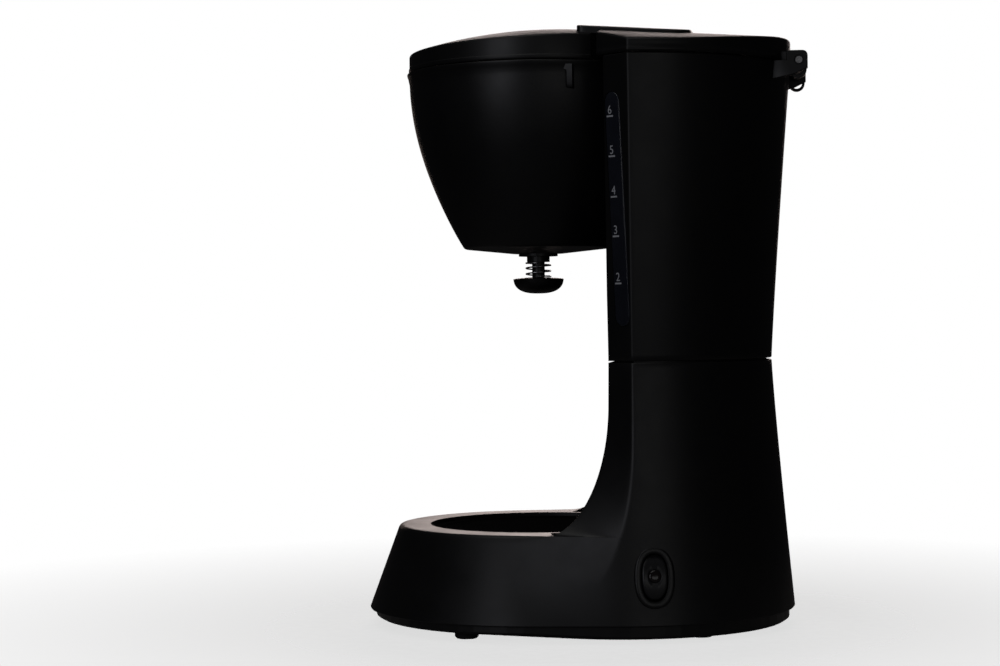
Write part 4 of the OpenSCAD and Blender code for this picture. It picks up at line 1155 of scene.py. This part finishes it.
def level_marks():
    """Printed lines with their numbers, on the window's face."""
    matrix = window_frame()
    parts = []
    for _, z in MARKS:
        height = z - WINDOW_MID
        rings = [[tuple(matrix @ Vector((x, y, zz)))
                  for y, zz in ((-3.4, height - 0.35), (0.6, height - 0.35), (0.6, height + 0.35), (-3.4, height + 0.35))]
                 for x in (0.06, 0.12)]
        parts.append(loft(rings, first_cap=True, last_cap=True))
    verts, faces = joined(parts)
    obj = mesh_object("level_lines", verts, faces, "mark_print")
    piece(obj, "machine", "mark_print", "level_marks")
    for number, z in MARKS:
        data = bpy.data.curves.new(f"level_{number}", "FONT")
        data.body = str(number)
        data.size = 0.0052
        data.extrude = 0.00003
        data.align_x = "CENTER"
        text = bpy.data.objects.new(f"level_{number}", data)
        bpy.context.scene.collection.objects.link(text)
        upright = Matrix(((0, 0, 1, 0), (1, 0, 0, 0), (0, 1, 0, 0), (0, 0, 0, 1)))
        spot = matrix @ Vector((0.08, -1.4, z + 1.0 - WINDOW_MID))
        text.matrix_world = Matrix.Translation(at(*spot)) @ matrix.to_3x3().to_4x4() @ upright
        bpy.context.view_layer.update()
        graph = bpy.context.evaluated_depsgraph_get()
        mesh = bpy.data.meshes.new_from_object(text.evaluated_get(graph))
        mesh.transform(text.matrix_world)
        bpy.data.objects.remove(text)
        digit = bpy.data.objects.new(f"level_{number}", mesh)
        bpy.context.scene.collection.objects.link(digit)
        mesh.materials.clear()
        mesh.materials.append(MATERIALS["mark_print"])
        piece(digit, "machine", "mark_print")


# ---- Switch ----
def switch_pieces():
    matrix = switch_frame()
    out = 1.6
    outer = [(0.0, -0.6), (0.0, 0.4), (0.15, 0.9), (0.6, out - 0.15), (1.1, out)]
    inner = [(2.3, out), (2.9, out - 0.2), (3.05, out - 0.7), (3.1, -6.0)]
    rings = []
    for inward, x in outer + inner:
        rings.append(oval_ring(BEZEL_W - 2 * inward, BEZEL_H - 2 * inward, x, matrix))
    rings.append(oval_ring(BEZEL_W - 3.9, BEZEL_H - 3.9, -6.0, matrix))
    rings.append(oval_ring(BEZEL_W - 3.9, BEZEL_H - 3.9, -0.6, matrix))
    verts, faces = loft(rings, along=True)
    obj = mesh_object("switch_surround", verts, faces, "satin_plastic", 50.0)
    piece(obj, "machine", "satin_plastic", "switch_bezel")
    tilt = Matrix.Translation((-5, 0, 0)) @ Matrix.Rotation(math.radians(-5.0), 4, "Y") @ Matrix.Translation((5, 0, 0))
    rocker = matrix @ tilt
    rings = []
    face = 2.1
    rock_r = 26.0
    lens_r = 2.6
    edge = 0.9

    def crown(z):
        return face - rock_r + math.sqrt(rock_r * rock_r - z * z)

    def oval(c, s, inward):
        y = math.copysign(abs(c) ** 0.85, c) * (BUTTON_W / 2 - inward)
        z = math.copysign(abs(s) ** 0.85, s) * (BUTTON_H / 2 - inward)
        return y, z

    def rocker_ring(point, count=96):
        turns = [2 * math.pi * i / count for i in range(count)]
        return [tuple(rocker @ Vector(point(math.cos(a), math.sin(a)))) for a in turns]

    def on_crown(y, z, depth=0.0):
        return crown(z) - depth, y, z

    for x in (-7.0, -1.5):
        rings.append(oval_ring(BUTTON_W, BUTTON_H, x, rocker))
    for t in (0.0, 0.33, 0.66, 1.0):
        inward, rise = edge * (1 - math.cos(t * math.pi / 2)), edge * math.sin(t * math.pi / 2)

        def eased_edge(c, s):
            y, z = oval(c, s, inward)
            return crown(z) - edge + rise, y, z

        rings.append(rocker_ring(eased_edge))
    for share in (0.8, 0.6, 0.45):
        rings.append(rocker_ring(
            lambda c, s: on_crown(*between((lens_r * c, lens_r * s), oval(c, s, edge), share))
        ))
    for r, depth in ((lens_r + 0.35, 0.0), (lens_r + 0.1, 0.25), (lens_r + 0.08, 1.4)):
        rings.append(rocker_ring(lambda c, s: on_crown(r * c, r * s, depth)))
    obj = solid("switch_rocker", rings, "button_plastic", 50.0)
    piece(obj, "rocker", "button_plastic", "rocker_button")
    rings = []
    for r, x in ((lens_r, face - 1.6), (lens_r, face - 0.1), (lens_r * 0.93, face + 0.12), (lens_r * 0.75, face + 0.28),
                 (lens_r * 0.45, face + 0.4), (lens_r * 0.1, face + 0.44)):
        rings.append(rocker_ring(lambda c, s: (x, r * c, r * s), 48))
    obj = solid("switch_lens", rings, "lens_red", 50.0)
    piece(obj, "rocker", "lens_red", "button_lens")


def valve_pieces():
    tier_z = BUCKET_Z - 6.0
    cap_z = tier_z - 7.8
    profile = [(0.0, cap_z + 0.9), (4.6, cap_z + 0.8), (CAP_R - 1.2, cap_z + 0.3)]
    profile += rounded_corner((CAP_R - 1.2, cap_z + 0.3), (CAP_R, cap_z), (CAP_R - 0.4, cap_z - 1.4), 0.35, 5)
    for i in range(1, 19):
        a = math.pi / 2 * i / 18
        profile.append((CAP_R * 0.985 * math.cos(a) ** 0.75, cap_z - 6.6 * math.sin(a) ** 0.9))
    verts, faces = revolve(profile, 96, closed=True)
    obj = mesh_object("drip_stop_cap", verts, faces, "cap_rubber", 50.0)
    piece(obj, "drip_stop", "cap_rubber", "valve_cap")
    wire = 0.36
    radius = 5.6
    turns = 3
    steps = turns * 48
    z0, z1 = cap_z + 0.9 + wire, tier_z - 0.1 - wire
    rings = []
    for i in range(steps + 1):
        share = i / steps
        a = 2 * math.pi * turns * share
        flat = min(1.0, max(0.0, (share * turns - 0.35) / (turns - 0.7)))
        z = z0 + (z1 - z0) * flat
        ring = []
        for k in range(10):
            b = 2 * math.pi * k / 10
            r = radius + wire * math.cos(b)
            ring.append((r * math.cos(a), r * math.sin(a), z + wire * math.sin(b)))
        rings.append(ring)
    obj = solid("drip_stop_spring", rings, "steel", 50.0)
    piece(obj, SPRING_BODY, "steel", "valve_spring")
    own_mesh(obj)


SPRING_BODY = [b for b, members in frame["record"]["behaviour"]["bodies"].items() if "valve_spring" in members][0]


# ---- Floor, light ----
def add_floor():
    """A pale paper floor that fades away round the machine into the white behind it."""
    work = bmesh.new()
    bmesh.ops.create_circle(work, cap_ends=True, segments=96, radius=FLOOR_R)
    mesh = bpy.data.meshes.new("floor")
    work.to_mesh(mesh)
    work.free()
    floor = bpy.data.objects.new("floor", mesh)
    bpy.context.scene.collection.objects.link(floor)
    m = Nodes("floor_paper")
    speckle = m.noise(160.0, 4.0, 0.6)
    m.set("Base Color", m.two_colours(speckle, (0.87, 0.865, 0.86), (0.9, 0.895, 0.89)))
    m.set("Roughness", 0.85)
    m.set("Specular IOR Level", 0.1)
    m.set("Normal", m.bump(speckle, 0.2, 0.0001))
    spread = m.add("ShaderNodeVectorMath", operation="LENGTH")
    m.link(m.object_space, spread.inputs[0])
    m.set("Alpha", m.spread(spread.outputs["Value"], 0.3, 0.0, FLOOR_SOLID_R, FLOOR_R * 0.98))
    mesh.materials.append(m.material)


FLOOR_R = 0.42
FLOOR_SOLID_R = 0.12


def add_light(name, azimuth, elevation, distance, size, power, colour=(1.0, 1.0, 1.0), target=(0.0, 20.0, 120.0),
              camera_sees=False):
    """A soft rectangular light at an angle round the machine, aimed at its middle."""
    data = bpy.data.lights.new(name, "AREA")
    data.shape = "RECTANGLE"
    data.size, data.size_y = size
    data.energy = power
    data.color = colour
    light = bpy.data.objects.new(name, data)
    bpy.context.scene.collection.objects.link(light)
    a, e = math.radians(azimuth), math.radians(elevation)
    back = Vector((math.sin(a) * math.cos(e), -math.cos(a) * math.cos(e), math.sin(e)))
    aim = at(*target)
    light.location = aim + back * distance
    light.rotation_mode = "QUATERNION"
    light.rotation_quaternion = (-back).to_track_quat("-Z", "Y")
    light.visible_camera = camera_sees
    return light


def add_world():
    """White where the camera looks past the machine, and a dim studio for everything that the light touches."""
    world = bpy.data.worlds.new("studio")
    bpy.context.scene.world = world
    world.use_nodes = True
    tree = world.node_tree
    background = tree.nodes["Background"]
    background.inputs["Color"].default_value = (0.008, 0.008, 0.0085, 1.0)
    background.inputs["Strength"].default_value = 1.0
    white = tree.nodes.new("ShaderNodeBackground")
    white.inputs["Color"].default_value = (1.0, 1.0, 1.0, 1.0)
    white.inputs["Strength"].default_value = 1.0
    path = tree.nodes.new("ShaderNodeLightPath")
    mix = tree.nodes.new("ShaderNodeMixShader")
    tree.links.new(path.outputs["Is Camera Ray"], mix.inputs["Fac"])
    tree.links.new(background.outputs["Background"], mix.inputs[1])
    tree.links.new(white.outputs["Background"], mix.inputs[2])
    tree.links.new(mix.outputs["Shader"], tree.nodes["World Output"].inputs["Surface"])


def add_lights():
    add_world()
    add_light("key", 64.0, 12.0, 1.6, (0.45, 0.9), 1.7, (0.97, 0.98, 1.06))
    add_light("fill", 113.0, 5.0, 1.6, (0.8, 0.35), 0.5)
    add_light("overhead", 60.0, 70.0, 1.6, (1.2, 1.2), 3.5)
    add_light("behind_low", 277.0, 4.5, 1.8, (1.3, 0.22), 0.8, (1.0, 0.8, 0.7))
    add_light("behind_high", 268.0, 18.0, 1.8, (0.9, 0.55), 6.0, (1.0, 0.86, 0.82))


add_camera()
finish_cad_nodes()
upper_housing()
lower_housing()
lid_shell()
lid_panel()
water_window()
level_marks()
switch_pieces()
valve_pieces()
add_floor()
add_lights()
bpy.context.scene.view_settings.view_transform = "Standard"

bpy.context.view_layer.update()
